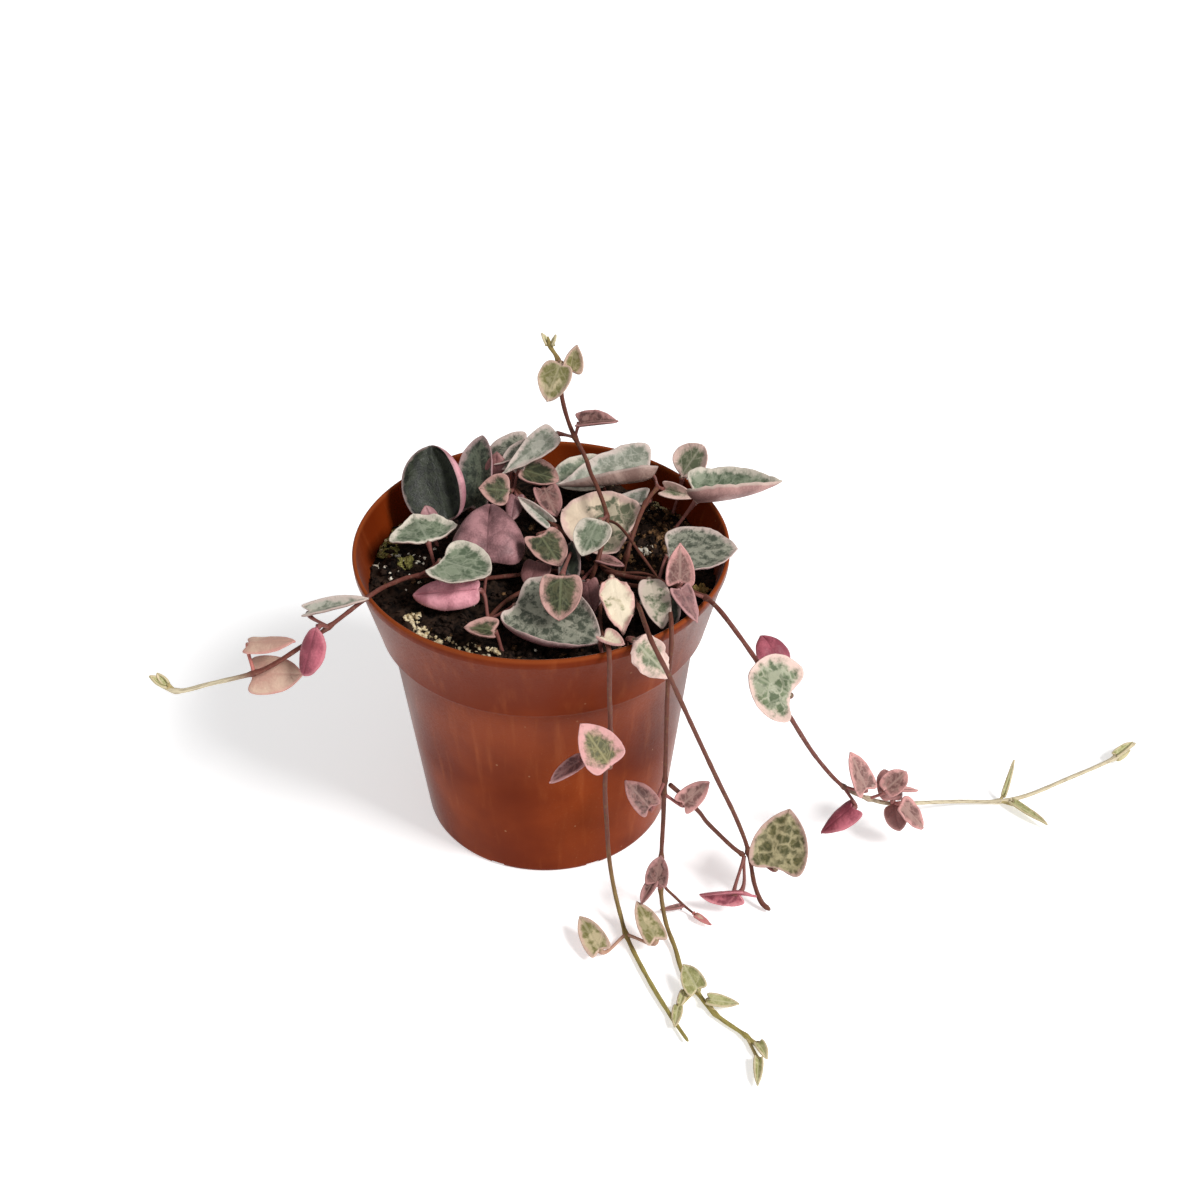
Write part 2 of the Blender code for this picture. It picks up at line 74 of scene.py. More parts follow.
def smooth_route(points: list, step: float) -> Array:
    """Points along a centripetal Catmull-Rom curve through a route's own points.

    Args:
        points: The route in mm.
        step: The distance between neighbours in mm.

    Returns:
        An array of points in mm.
    """
    given = np.asarray(points, dtype=float)
    padded = np.vstack([2 * given[0] - given[1], given, 2 * given[-1] - given[-2]])
    route = [given[:1]]
    for a, b, c, d in zip(padded[:-3], padded[1:-2], padded[2:-1], padded[3:]):
        tb = math.sqrt(np.linalg.norm(b - a))
        tc = tb + math.sqrt(np.linalg.norm(c - b))
        td = tc + math.sqrt(np.linalg.norm(d - c))
        count = max(1, round(np.linalg.norm(c - b) / step))
        t = np.linspace(tb, tc, count + 1)[1:, None]
        ab = (tb - t) / tb * a + t / tb * b
        bc = (tc - t) / (tc - tb) * b + (t - tb) / (tc - tb) * c
        cd = (td - t) / (td - tc) * c + (t - tc) / (td - tc) * d
        abc = (tc - t) / tc * ab + t / tc * bc
        bcd = (td - t) / (td - tb) * bc + (t - tb) / (td - tb) * cd
        route.append((tc - t) / (tc - tb) * abc + (t - tb) / (tc - tb) * bcd)
    return np.vstack(route)


def walked(path: Array) -> Array:
    """The length walked along a path at each of its points."""
    return np.concatenate([[0.0], np.cumsum(np.linalg.norm(np.diff(path, axis=0), axis=1))])


def around(sides: int) -> Array:
    """The angles of a ring's places, evenly spaced from 0."""
    return np.linspace(0, FULL_TURN, sides, endpoint=False)


def turned(radii: Array, heights: Array, sides: int) -> Array:
    """A section turned about Z, x = r cos t, y = r sin t, as points (rings, sides, 3)."""
    turn = around(sides)
    return np.stack([np.outer(radii, np.cos(turn)), np.outer(radii, np.sin(turn)),
                     np.repeat(np.asarray(heights)[:, None], sides, axis=1)], axis=-1)


def lattice_noise(places: Array, seed: int) -> Array:
    """Smooth noise of 0 to 1: random values on a unit lattice, blended between by 3t^2 - 2t^3.

    Args:
        places: Points (N, 3) in lattice units.
        seed: Picks the random values.

    Returns:
        One value for each point.
    """
    table = np.random.default_rng(seed).random((NOISE_CELLS,) * 3)
    cell = np.floor(places).astype(int)
    part = places - cell
    part = part * part * (3 - 2 * part)
    total = np.zeros(len(places))
    for corner in np.ndindex(2, 2, 2):
        index = (cell + corner) % NOISE_CELLS
        weight = np.prod(np.where(np.array(corner) == 1, part, 1 - part), axis=1)
        total += weight * table[index[:, 0], index[:, 1], index[:, 2]]
    return total


def layered_noise(places: Array, seed: int, layers: int) -> Array:
    """Noise of about -1 to 1: octaves of lattice noise, each twice as fine and half as strong."""
    total, weight, scale = np.zeros(len(places)), 1.0, 1.0
    for layer in range(layers):
        total += weight * (2 * lattice_noise(places * scale, seed + layer) - 1)
        weight, scale = weight / 2, scale * OCTAVE_STEP
    return total


def tube(path: Array, radius: Array, side: Array, sides: int) -> Array:
    """Rings about a path, p + r (u cos t + v sin t), with u and v carried along untwisted.

    Args:
        path: Points (N, 3) in mm.
        radius: The radius at each point in mm.
        side: The wanted direction of u at the end of the path.
        sides: The points in a ring.

    Returns:
        Points (N, sides, 3) in mm.
    """
    ahead = np.gradient(path, axis=0)
    ahead /= np.linalg.norm(ahead, axis=1, keepdims=True)
    first = np.zeros_like(path)
    for index in range(len(path) - 1, -1, -1):
        side = side - ahead[index] * np.dot(side, ahead[index])
        side = side / np.linalg.norm(side)
        first[index] = side
    second = np.cross(ahead, first)
    turn = around(sides)[None, :, None]
    return path[:, None] + radius[:, None, None] * (
        np.cos(turn) * first[:, None] + np.sin(turn) * second[:, None])


def ring_faces(rings: int, sides: int) -> list:
    """Quads between neighbouring rings, with the first and last ring closed on a middle point.

    Args:
        rings: The number of rings, whose points come first, ring by ring.
        sides: The points in a ring.

    Returns:
        Faces that point outwards where rings run anticlockwise about the way ahead.  The foot's
        middle point is next after the rings, then the tip's.
    """
    place = np.arange(sides)
    after = (place + 1) % sides
    low = (np.arange(rings - 1)[:, None] * sides + place).ravel()
    turn = np.tile(after - place, rings - 1)
    walls = np.column_stack([low, low + turn, low + turn + sides, low + sides])
    foot = np.column_stack([np.full(sides, rings * sides), after, place])
    last = (rings - 1) * sides
    tip = np.column_stack([last + place, last + after, np.full(sides, rings * sides + 1)])
    return walls.tolist() + foot.tolist() + tip.tolist()


def inside_out(faces: list) -> list:
    """The same faces, pointing the other way."""
    return [face[::-1] for face in faces]


@dataclass
class Skin:
    """One mesh being put together: points in mm, faces, and values for its finish."""

    name: str
    points: Array
    faces: list
    values: dict[str, Array] = field(default_factory=dict)

    def make(self, finish: Material, slot: str, replaced: str = "") -> Piece:
        """Make the object, dress it and let it ride on the plant's body.

        Args:
            finish: Its material.
            slot: The record's slot that the finish stands for; it is not used.
            replaced: The CAD node that it stands for, if there is one.

        Returns:
            The finished piece.
        """
        mesh = bpy.data.meshes.new(self.name)
        mesh.from_pydata((self.points * MM).tolist(), [], self.faces)
        for key, value in self.values.items():
            layer = mesh.attributes.new(key, "FLOAT_VECTOR", "POINT")
            layer.data.foreach_set("vector", np.asarray(value, dtype=np.float32).ravel())
        mesh.validate()
        mesh.polygons.foreach_set("use_smooth", np.full(len(mesh.polygons), True))
        mesh.materials.append(finish)
        piece = placed(self.name, mesh)
        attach(piece, BODY)
        if replaced:
            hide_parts(replaced)
        return piece


def placed(name: str, data: bpy.types.ID) -> Piece:
    """A new object that shows a mesh, light or camera in the scene."""
    thing = bpy.data.objects.new(name, data)
    bpy.context.scene.collection.objects.link(thing)
    return thing


# Finishes

class Graph:
    """A material's node tree, written as expressions."""

    def __init__(self, name: str, roughness: float, gloss: float) -> None:
        """Start a Principled material.

        Args:
            name: The material's name.
            roughness: Its even roughness, where nothing is linked to it.
            gloss: Its specular level.
        """
        self.material = bpy.data.materials.new(name)
        self.material.use_nodes = True
        self.shader = self.material.node_tree.nodes["Principled BSDF"]
        self.shader.inputs["Roughness"].default_value = roughness
        self.shader.inputs["Specular IOR Level"].default_value = gloss

    def node(self, kind: str, *fed: object, **settings: object) -> bpy.types.Node:
        """Add a node.

        Args:
            kind: Its type, without the leading ShaderNode.
            fed: What goes into its first sockets, in order.
            settings: Its own settings, or a socket's value under the socket's name.

        Returns:
            The node.
        """
        node = self.material.node_tree.nodes.new("ShaderNode" + kind)
        for key, value in settings.items():
            if key in node.inputs:
                self.feed(node.inputs[key], value)
            else:
                setattr(node, key, value)
        for socket, value in zip(node.inputs, fed):
            self.feed(socket, value)
        return node

    def feed(self, socket: Socket, value: object) -> None:
        """Link a socket, or set its value; a colour is written 0xRRGGBB."""
        if isinstance(value, Socket):
            self.material.node_tree.links.new(value, socket)
        else:
            socket.default_value = linear(value) if socket.type == "RGBA" else value

    def place(self) -> Socket:
        """The object's own coordinates, in mm."""
        return self.scaled(self.node("TexCoord").outputs["Object"], (1 / MM, 1 / MM, 1 / MM))

    def value(self, name: str) -> Socket:
        """A vector attribute of the mesh."""
        return self.node("Attribute", attribute_name=name).outputs["Vector"]

    def scaled(self, vector: Socket, factors: tuple) -> Socket:
        """A vector times three factors."""
        return self.node("VectorMath", vector, factors, operation="MULTIPLY").outputs["Vector"]

    def parts(self, vector: Socket) -> list:
        """The three parts of a vector or colour."""
        return list(self.node("SeparateXYZ", vector).outputs)

    def math(self, operation: str, first: object, second: object = 0.0) -> Socket:
        """Arithmetic on one or two numbers."""
        return self.node("Math", first, second, operation=operation).outputs["Value"]

    def plus(self, first: object, second: object) -> Socket:
        """A sum."""
        return self.math("ADD", first, second)

    def less(self, first: object, second: object) -> Socket:
        """A difference."""
        return self.math("SUBTRACT", first, second)

    def times(self, first: object, second: object) -> Socket:
        """A product."""
        return self.math("MULTIPLY", first, second)

    def most(self, first: object, second: object) -> Socket:
        """The larger of two."""
        return self.math("MAXIMUM", first, second)

    def swing(self, noise: Socket, reach: float) -> Socket:
        """A noise of 0 to 1, moved to swing about 0 and scaled."""
        return self.times(self.less(noise, 0.5), reach)

    def noise(self, vector: Socket, scale: float, detail: float = 3.0) -> Socket:
        """Fractal noise of about 0 to 1."""
        return self.node("TexNoise", Vector=vector, Scale=scale, Detail=detail).outputs["Fac"]

    def warped(self, vector: Socket, scale: float, reach: float) -> Socket:
        """A vector pushed about by coloured noise."""
        push = self.node("TexNoise", Vector=vector, Scale=scale).outputs["Color"]
        return self.node("VectorMath", vector, self.scaled(push, (reach,) * 3)).outputs["Vector"]

    def cells(self, vector: Socket, size: float, feature: str, output: str) -> Socket:
        """Voronoi cells of about a given size."""
        node = self.node("TexVoronoi", Vector=vector, Scale=1 / size, feature=feature)
        return node.outputs[output]

    def rise(self, value: object, low: float, high: float, bottom: float = 0.0,
             top: float = 1.0) -> Socket:
        """A smooth rise from bottom to top as a value goes from low to high."""
        return self.node("MapRange", value, low, high, bottom, top,
                         interpolation_type="SMOOTHSTEP").outputs["Result"]

    def mix(self, share: object, first: object, second: object) -> Socket:
        """Two colours mixed; the node's colour sockets are 6 and 7 in, 2 out."""
        node = self.node("Mix", share, data_type="RGBA")
        self.feed(node.inputs[6], first)
        self.feed(node.inputs[7], second)
        return node.outputs[2]

    def bump(self, height: Socket, strength: float, reach_mm: float) -> None:
        """Let a height tilt the surface's normal."""
        node = self.node("Bump", Strength=strength, Distance=reach_mm * MM, Height=height)
        self.feed(self.shader.inputs["Normal"], node.outputs["Normal"])

    def finish(self, colour: object, roughness: object = None) -> Material:
        """Feed the shader and hand over the material."""
        self.feed(self.shader.inputs["Base Color"], colour)
        if roughness is not None:
            self.feed(self.shader.inputs["Roughness"], roughness)
        return self.material


# What all leaf finishes share.  A band is where a rise starts and ends, and sometimes its values.
LEAF_ROUGH, LEAF_GLOSS = 0.5, 0.3
LEAF_NOISES = ((0.16, 2.0), (0.5, 4.0), (2.2, 4.0))  # Soft, cloud and fine: scale and detail.
LEAF_SWIRLS = ((0.4, 2.4), (1.8, 0.7))  # Wide and small: scale and reach in mm.
TONE_SWING, FINE_SWING = 0.22, 0.45
GREEN_BAND = (0.38, 0.64)
NET_FADE = (0.3, 0.6, 0.35, 1.0)
PALE_STEP, PALE_SHARE = 0.04, 0.6
VEIN_SLANT, VEIN_WAVER_MM, VEIN_GAP_MM = 0.8, 3.0, 4.6
VEIN_BAND, RIB_BAND, RIB_STRENGTH = (0.02, 0.11), (0.1, 0.5), 1.4
SECTOR_SWING, SECTOR_MIDDLE_MM, SECTOR_FROM = 0.7, 10.0, 0.72
MARGIN_WANDER, MARGIN_FRAY = 3.4, 0.8
UNDER_BAND, UNDER_FINE = (0.45, 0.8), 0.3
UNDER_RIB, UNDER_CLOUDS = (0.1, 0.4, 0.65, 0.0), (0.5, 0.75, 0.0, 0.5)
UNDER_EDGE = (0.3, 0.9, 0.4, 0.0)
NET_RELIEF, FINE_RELIEF, LEAF_RELIEF = 0.4, 0.8, (0.5, 0.18)


@dataclass(frozen=True)
class LeafFinish:
    """A leaf's two faces: clouded greens under a vein network, a margin, pale sectors, the back."""

    patch: Colour
    deep: Colour
    net: Colour
    margin: Colour
    sector: Colour
    under: Colour
    under_deep: Colour
    stalk: Colour = 0x804E48
    patch_mm: float = 2.4
    net_width: float = 0.12
    net_share: float = 0.3
    pale_cells: float = 0.0
    vein_share: float = 0.5
    margin_mm: float = 1.0
    sector_share: float = 0.0
    sector_lean: float = 0.0

    def material(self, name: str) -> Material:
        """Build the finish.

        The upper face mixes two greens by clouds of noise and by Voronoi cell.  The vein colour
        shows between cells, in some whole cells, along the midrib and along slanting side veins.
        Pale sectors and the margin lie over that.  The underside has its own two colours and a
        dark midrib.

        Args:
            name: The material's name.

        Returns:
            The material.
        """
        g = Graph(name, LEAF_ROUGH, LEAF_GLOSS)
        blade = g.value("blade")
        along, across = g.parts(blade)[:2]
        margin, upper, stalk = g.parts(g.value("skin"))
        width = g.math("ABSOLUTE", across)
        soft, cloud, fine = (g.noise(blade, *kind) for kind in LEAF_NOISES)
        wide, small = LEAF_SWIRLS
        moved = g.warped(g.warped(blade, *wide), *small)
        edge = g.cells(moved, self.patch_mm, "DISTANCE_TO_EDGE", "Distance")
        tone = g.parts(g.cells(moved, self.patch_mm, "F1", "Color"))[0]

        # Two greens, then the vein colour between cells, in pale cells and on the veins.
        mood = g.plus(g.plus(cloud, g.swing(tone, TONE_SWING)), g.swing(fine, FINE_SWING))
        colour = g.mix(g.rise(mood, *GREEN_BAND), self.deep, self.patch)
        lines = g.times(g.rise(edge, 0.0, self.net_width, self.net_share, 0.0),
                        g.rise(cloud, *NET_FADE))
        first = 1.0 - self.pale_cells
        pale = g.rise(tone, first, first + PALE_STEP, 0.0, PALE_SHARE if self.pale_cells else 0.0)
        slant = g.plus(g.less(along, g.times(width, VEIN_SLANT)), g.times(cloud, VEIN_WAVER_MM))
        phase = g.math("FRACT", g.math("DIVIDE", slant, VEIN_GAP_MM))
        vein = g.rise(g.math("ABSOLUTE", g.less(phase, 0.5)), *VEIN_BAND, self.vein_share, 0.0)
        veins = g.most(vein, g.rise(width, *RIB_BAND, RIB_STRENGTH * self.vein_share, 0.0))
        colour = g.mix(g.most(g.most(lines, pale), veins), colour, self.net)

        # Pale sectors and the margin.
        if self.sector_share:
            patchy = g.plus(g.plus(soft, g.swing(cloud, SECTOR_SWING)),
                            g.times(g.less(along, SECTOR_MIDDLE_MM), self.sector_lean))
            low = SECTOR_FROM - 0.5 * self.sector_share
            colour = g.mix(g.rise(patchy, low - 0.03, low + 0.14), colour, self.sector)
        rim = g.less(g.less(margin, g.swing(cloud, MARGIN_WANDER * self.margin_mm)),
                     g.swing(fine, MARGIN_FRAY * self.margin_mm))
        colour = g.mix(g.rise(rim, 0.1 * self.margin_mm, 1.8 * self.margin_mm, 1.0, 0.0),
                       colour, self.margin)

        # The underside, the stalk and the relief.
        below = g.mix(g.rise(g.plus(soft, g.times(fine, UNDER_FINE)), *UNDER_BAND),
                      self.under, self.under_deep)
        below = g.mix(g.rise(width, *UNDER_RIB), below, self.under_deep)
        below = g.mix(g.rise(cloud, *UNDER_CLOUDS), below, self.under_deep)
        below = g.mix(g.rise(margin, *UNDER_EDGE), below, self.margin)
        colour = g.mix(stalk, g.mix(upper, below, colour), self.stalk)
        height = g.plus(g.times(g.rise(edge, 0.0, 0.2), NET_RELIEF), g.times(fine, FINE_RELIEF))
        g.bump(g.less(height, veins), *LEAF_RELIEF)
        return g.finish(colour, g.rise(fine, 0.2, 0.8, LEAF_ROUGH - 0.08, LEAF_ROUGH + 0.12))


class Look(Enum):
    """The leaf finishes, each with the CAD slot that it stands for."""

    DARK = ("dark", LeafFinish(0x262C1E, 0x121610, 0x343A2C, 0x786864, 0x464E44, 0xE2A6B0, 0xAC7780,
        vein_share=0.15, margin_mm=0.5))
    SLATE = ("dark", LeafFinish(0x545C4C, 0x262E24, 0x707464, 0xB09896, 0x6E7064, 0xD69EA6,
        0xA6747C, patch_mm=3.2, vein_share=0.2))
    NET = ("mottled", LeafFinish(0x7A846E, 0x54614C, 0x9EA490, 0xD2C8BA, 0xB0B2A0, 0xB88E88,
        0x8C6864, patch_mm=3.4, net_share=0.5, pale_cells=0.1, vein_share=0.4, margin_mm=1.4))
    GREY = ("mottled", LeafFinish(0x8E8F80, 0x484E42, 0xA8A696, 0xC8B6AE, 0x9E9C8C, 0xBE8C90,
        0x8C6266, patch_mm=2.6, net_share=0.25, pale_cells=0.05, vein_share=0.3))
    PALE = ("mottled", LeafFinish(0xA6A79A, 0x7A7F71, 0xBEBCB0, 0xCCBCB4, 0xBCB6A8, 0xB0948A,
        0x80645C, patch_mm=2.8, net_share=0.4, pale_cells=0.2, vein_share=0.25, margin_mm=1.1))
    CREAM = ("cream", LeafFinish(0x888870, 0x626650, 0xC6B6A0, 0xD6B6AC, 0xE2CEB6, 0xB88E8A,
        0x926A68, patch_mm=2.6, net_share=0.45, pale_cells=0.35, margin_mm=1.2, sector_share=0.62,
        sector_lean=0.035))
    IVORY = ("cream", LeafFinish(0x969468, 0x747A50, 0xD6C6AA, 0xD6A8A0, 0xE8DAC2, 0xBE928E,
        0x966C6A, patch_mm=2.6, pale_cells=0.3, margin_mm=0.8, sector_share=0.85))
    PINK = ("pink", LeafFinish(0x8B6161, 0x674748, 0x97716E, 0xB88A8A, 0xA07678, 0xAD7E82, 0x6C4A4D,
        patch_mm=3.0, margin_mm=0.7))
    # Painted light: the pink finish made lighter, for a leaf that lies in shade.
    LIT_PINK = ("pink", LeafFinish(0xBE848C, 0x96626A, 0xC89296, 0xD6A0A2, 0xBE888C, 0xFAB1BE,
        0xBF7B87, patch_mm=3.0, margin_mm=0.7))
    ROSE = ("pink", LeafFinish(0xB66470, 0x803E4A, 0xBE747E, 0xCE868E, 0xB66A72, 0xBE6877, 0x863F4D,
        patch_mm=2.2, margin_mm=0.6))
    EDGED = ("edged", LeafFinish(0x4D4C34, 0x2F3320, 0x6B6F51, 0xBA9088, 0x82725C, 0xA07270,
        0x7A5252, net_share=0.25, vein_share=0.45, margin_mm=1.4))
    BLUSH = ("edged", LeafFinish(0x84886C, 0x60684E, 0xACAA94, 0xDEC0B6, 0xA09682, 0xC89C96,
        0x9C706C, net_share=0.45, margin_mm=1.9))
    FRINGED = ("edged", LeafFinish(0x706840, 0x4E4D2C, 0x968F65, 0xD4A09E, 0xA09074, 0xAC7E7A,
        0x845A58, net_share=0.55, margin_mm=2.1))
    OLIVE = ("olive", LeafFinish(0x8E8A5E, 0x787446, 0xADA481, 0xC8AC9A, 0xC1B38F, 0xC4A696,
        0xA27E72, stalk=0xB28C78, patch_mm=2.2, net_share=0.4, pale_cells=0.2, margin_mm=0.8,
        sector_share=0.5))
    PATCH = ("olive", LeafFinish(0x6A6642, 0x4C4C2E, 0xAAA07C, 0xBE9E92, 0xA69E7E, 0xAA847E,
        0x82605C, patch_mm=3.0, net_width=0.24, net_share=1.0, pale_cells=0.1, vein_share=0.25,
        margin_mm=0.9))
    VINE = ("mottled", LeafFinish(0x6A7657, 0x4C593C, 0xADAD97, 0xDCC0B6, 0xBCB49E, 0xB08482,
        0x886260, patch_mm=2.6, net_width=0.22, net_share=0.8, pale_cells=0.06, vein_share=0.3,
        margin_mm=1.8))
    MILKY = ("cream", LeafFinish(0x747C62, 0x525C44, 0xA8A692, 0xC4B0A6, 0xBEB2A2, 0xB08C86,
        0x886662, patch_mm=2.6, net_share=0.4, pale_cells=0.2, vein_share=0.3, margin_mm=1.2,
        sector_share=0.5))
    DUSTY = ("pink", LeafFinish(0x7F5954, 0x553936, 0x96766E, 0xAB7D7A, 0x81615C, 0x966867,
        0x6E4747, stalk=0x8C5450, patch_mm=1.8, net_share=0.4, pale_cells=0.15, margin_mm=0.8))
    MAUVE = ("pink", LeafFinish(0x916B65, 0x72504C, 0xA98A81, 0xCE9894, 0xA48179, 0xA67773,
        0x885C5A, stalk=0x965C58, patch_mm=2.0, net_share=0.5, pale_cells=0.2))
    SHEER = ("olive", LeafFinish(0xC2A892, 0xAE8E7A, 0xCAB29E, 0xC47C7C, 0xC6AC98, 0xCEB09C,
        0xBA9284, stalk=0xB26C64, net_share=0.2, margin_mm=0.9))
    SPROUT = ("olive", LeafFinish(0xB6B482, 0x92925C, 0xC8C49C, 0xCCBC9C, 0xC8C29C, 0xC4BC92,
        0x9C966A, stalk=0xAC9C6E, patch_mm=1.6, net_share=0.2, margin_mm=0.3))

    @property
    def slot(self) -> str:
        """The record's slot."""
        return "leaf_" + self.value[0]

    def material(self) -> Material:
        """The finish's one material, made when it is first asked for."""
        name = "blade_" + self.name.lower()
        return bpy.data.materials.get(name) or self.value[1].material(name)


BARK_ROUGH, BARK_GLOSS = 0.5, 0.12
BARK_GRAIN = (0.35, 1.6, 0.0)  # Streaks are long along the stem and fine around it.


@dataclass(frozen=True)
class BarkFinish:
    """A stem's skin, from its old brown foot to its young tip."""

    name: str
    old: Colour
    young: Colour
    streak: Colour

    def material(self) -> Material:
        """The finish's one material: streaks of noise over a colour that changes on the way."""
        made = bpy.data.materials.get(self.name)
        if made:
            return made
        g = Graph(self.name, BARK_ROUGH, BARK_GLOSS)
        bark = g.value("bark")
        grain = g.noise(g.scaled(bark, BARK_GRAIN), 1.0)
        speck = g.noise(g.place(), 0.9, 4.0)
        colour = g.mix(g.parts(bark)[2], self.old, self.young)
        colour = g.mix(g.rise(grain, 0.45, 0.75, 0.0, 0.6), colour, self.streak)
        colour = g.mix(g.rise(speck, 0.5, 0.8, 0.0, 0.18), colour, self.young)
        g.bump(g.plus(grain, speck), 0.5, 0.12)
        return g.finish(colour, g.rise(speck, 0.2, 0.8, 0.42, 0.62))


GREENING = BarkFinish("bark_greening", 0x683E34, 0xA09458, 0x442822)
BEIGE = BarkFinish("bark_beige", 0x6C3E36, 0xCABEA2, 0x482824)


PLASTIC_ROUGH, PLASTIC_GLOSS = 0.35, 0.03
SHEEN, SHEEN_ROUGHNESS = 0.5, 0.22
POT_STREAKS = (0.34, 0.34, 0.02)  # Streaks run down the pot.
SPECK_MM = 6.25
# Painted highlight on the rim: full within 0.2 mm of its top, gone 1.4 mm below it.
RIM_HIGHLIGHT = (0.2, 1.4, 0.6, 0.0)
LEDGE_SHADE = (0.0, 7.0, 0.35, 0.0)


@dataclass(frozen=True)
class PotFinish:
    """Moulded plastic, handled and a little dusty, with a painted highlight along the rim's top."""

    body: Colour
    deep: Colour
    worn_and_highlight: Colour
    dust: Colour

    def material(self, name: str, ledge_mm: float, rim_mm: float) -> Material:
        """Build the finish.

        Args:
            name: The material's name.
            ledge_mm: The height of the band's lower edge, which shades what is under it.
            rim_mm: The height of the rim, along whose top a pale highlight is painted.

        Returns:
            The material.
        """
        g = Graph(name, PLASTIC_ROUGH, PLASTIC_GLOSS)
        g.shader.inputs["Sheen Weight"].default_value = SHEEN
        g.shader.inputs["Sheen Roughness"].default_value = SHEEN_ROUGHNESS
        place = g.place()
        high = g.parts(place)[2]
        cloud = g.noise(place, 0.035, 4.0)
        run = g.noise(g.scaled(place, POT_STREAKS), 1.0, 4.0)
        grit = g.noise(place, 1.7)
        speck = g.cells(place, SPECK_MM, "F1", "Distance")
        colour = g.mix(g.rise(cloud, 0.35, 0.7), self.deep, self.body)
        colour = g.mix(g.rise(run, 0.52, 0.78, 0.0, 0.35), colour, self.worn_and_highlight)
        dusty = g.times(g.rise(grit, 0.55, 0.8), g.rise(cloud, 0.4, 0.65, 0.0, 0.12))
        colour = g.mix(dusty, colour, self.dust)
        colour = g.mix(g.rise(speck, 0.03, 0.07, 0.55, 0.0), colour, self.dust)
        # Painted highlight: the lighter colour laid along the top of the rim.
        colour = g.mix(g.rise(g.less(rim_mm, high), *RIM_HIGHLIGHT), colour, self.worn_and_highlight)
        colour = g.mix(g.rise(g.less(ledge_mm, high), *LEDGE_SHADE), colour, self.deep)
        g.bump(g.plus(g.times(run, 0.6), grit), 0.18, 0.1)
        return g.finish(colour, g.rise(grit, 0.3, 0.8, 0.3, 0.46))


CRUMB_GLOSS = 0.1


@dataclass(frozen=True)
class CrumbFinish:
    """A crumbly or corky stuff, such as soil, perlite, bark or moss."""

    light: Colour
    dark: Colour
    grain_mm: float
    rough: float = 0.95
    relief: float = 0.8

    def material(self, name: str) -> Material:
        """Build the finish: two colours by two scales of noise, with matching relief."""
        g = Graph(name, self.rough, CRUMB_GLOSS)
        place = g.place()
        coarse = g.noise(place, 0.25 / self.grain_mm, 4.0)
        grain = g.noise(place, 1.0 / self.grain_mm, 5.0)
        tone = g.plus(g.times(coarse, 0.5), g.times(grain, 0.5))
        g.bump(grain, self.relief, 0.5 * self.grain_mm)
        return g.finish(g.mix(g.rise(tone, 0.38, 0.62), self.dark, self.light))


# The pot and what fills it

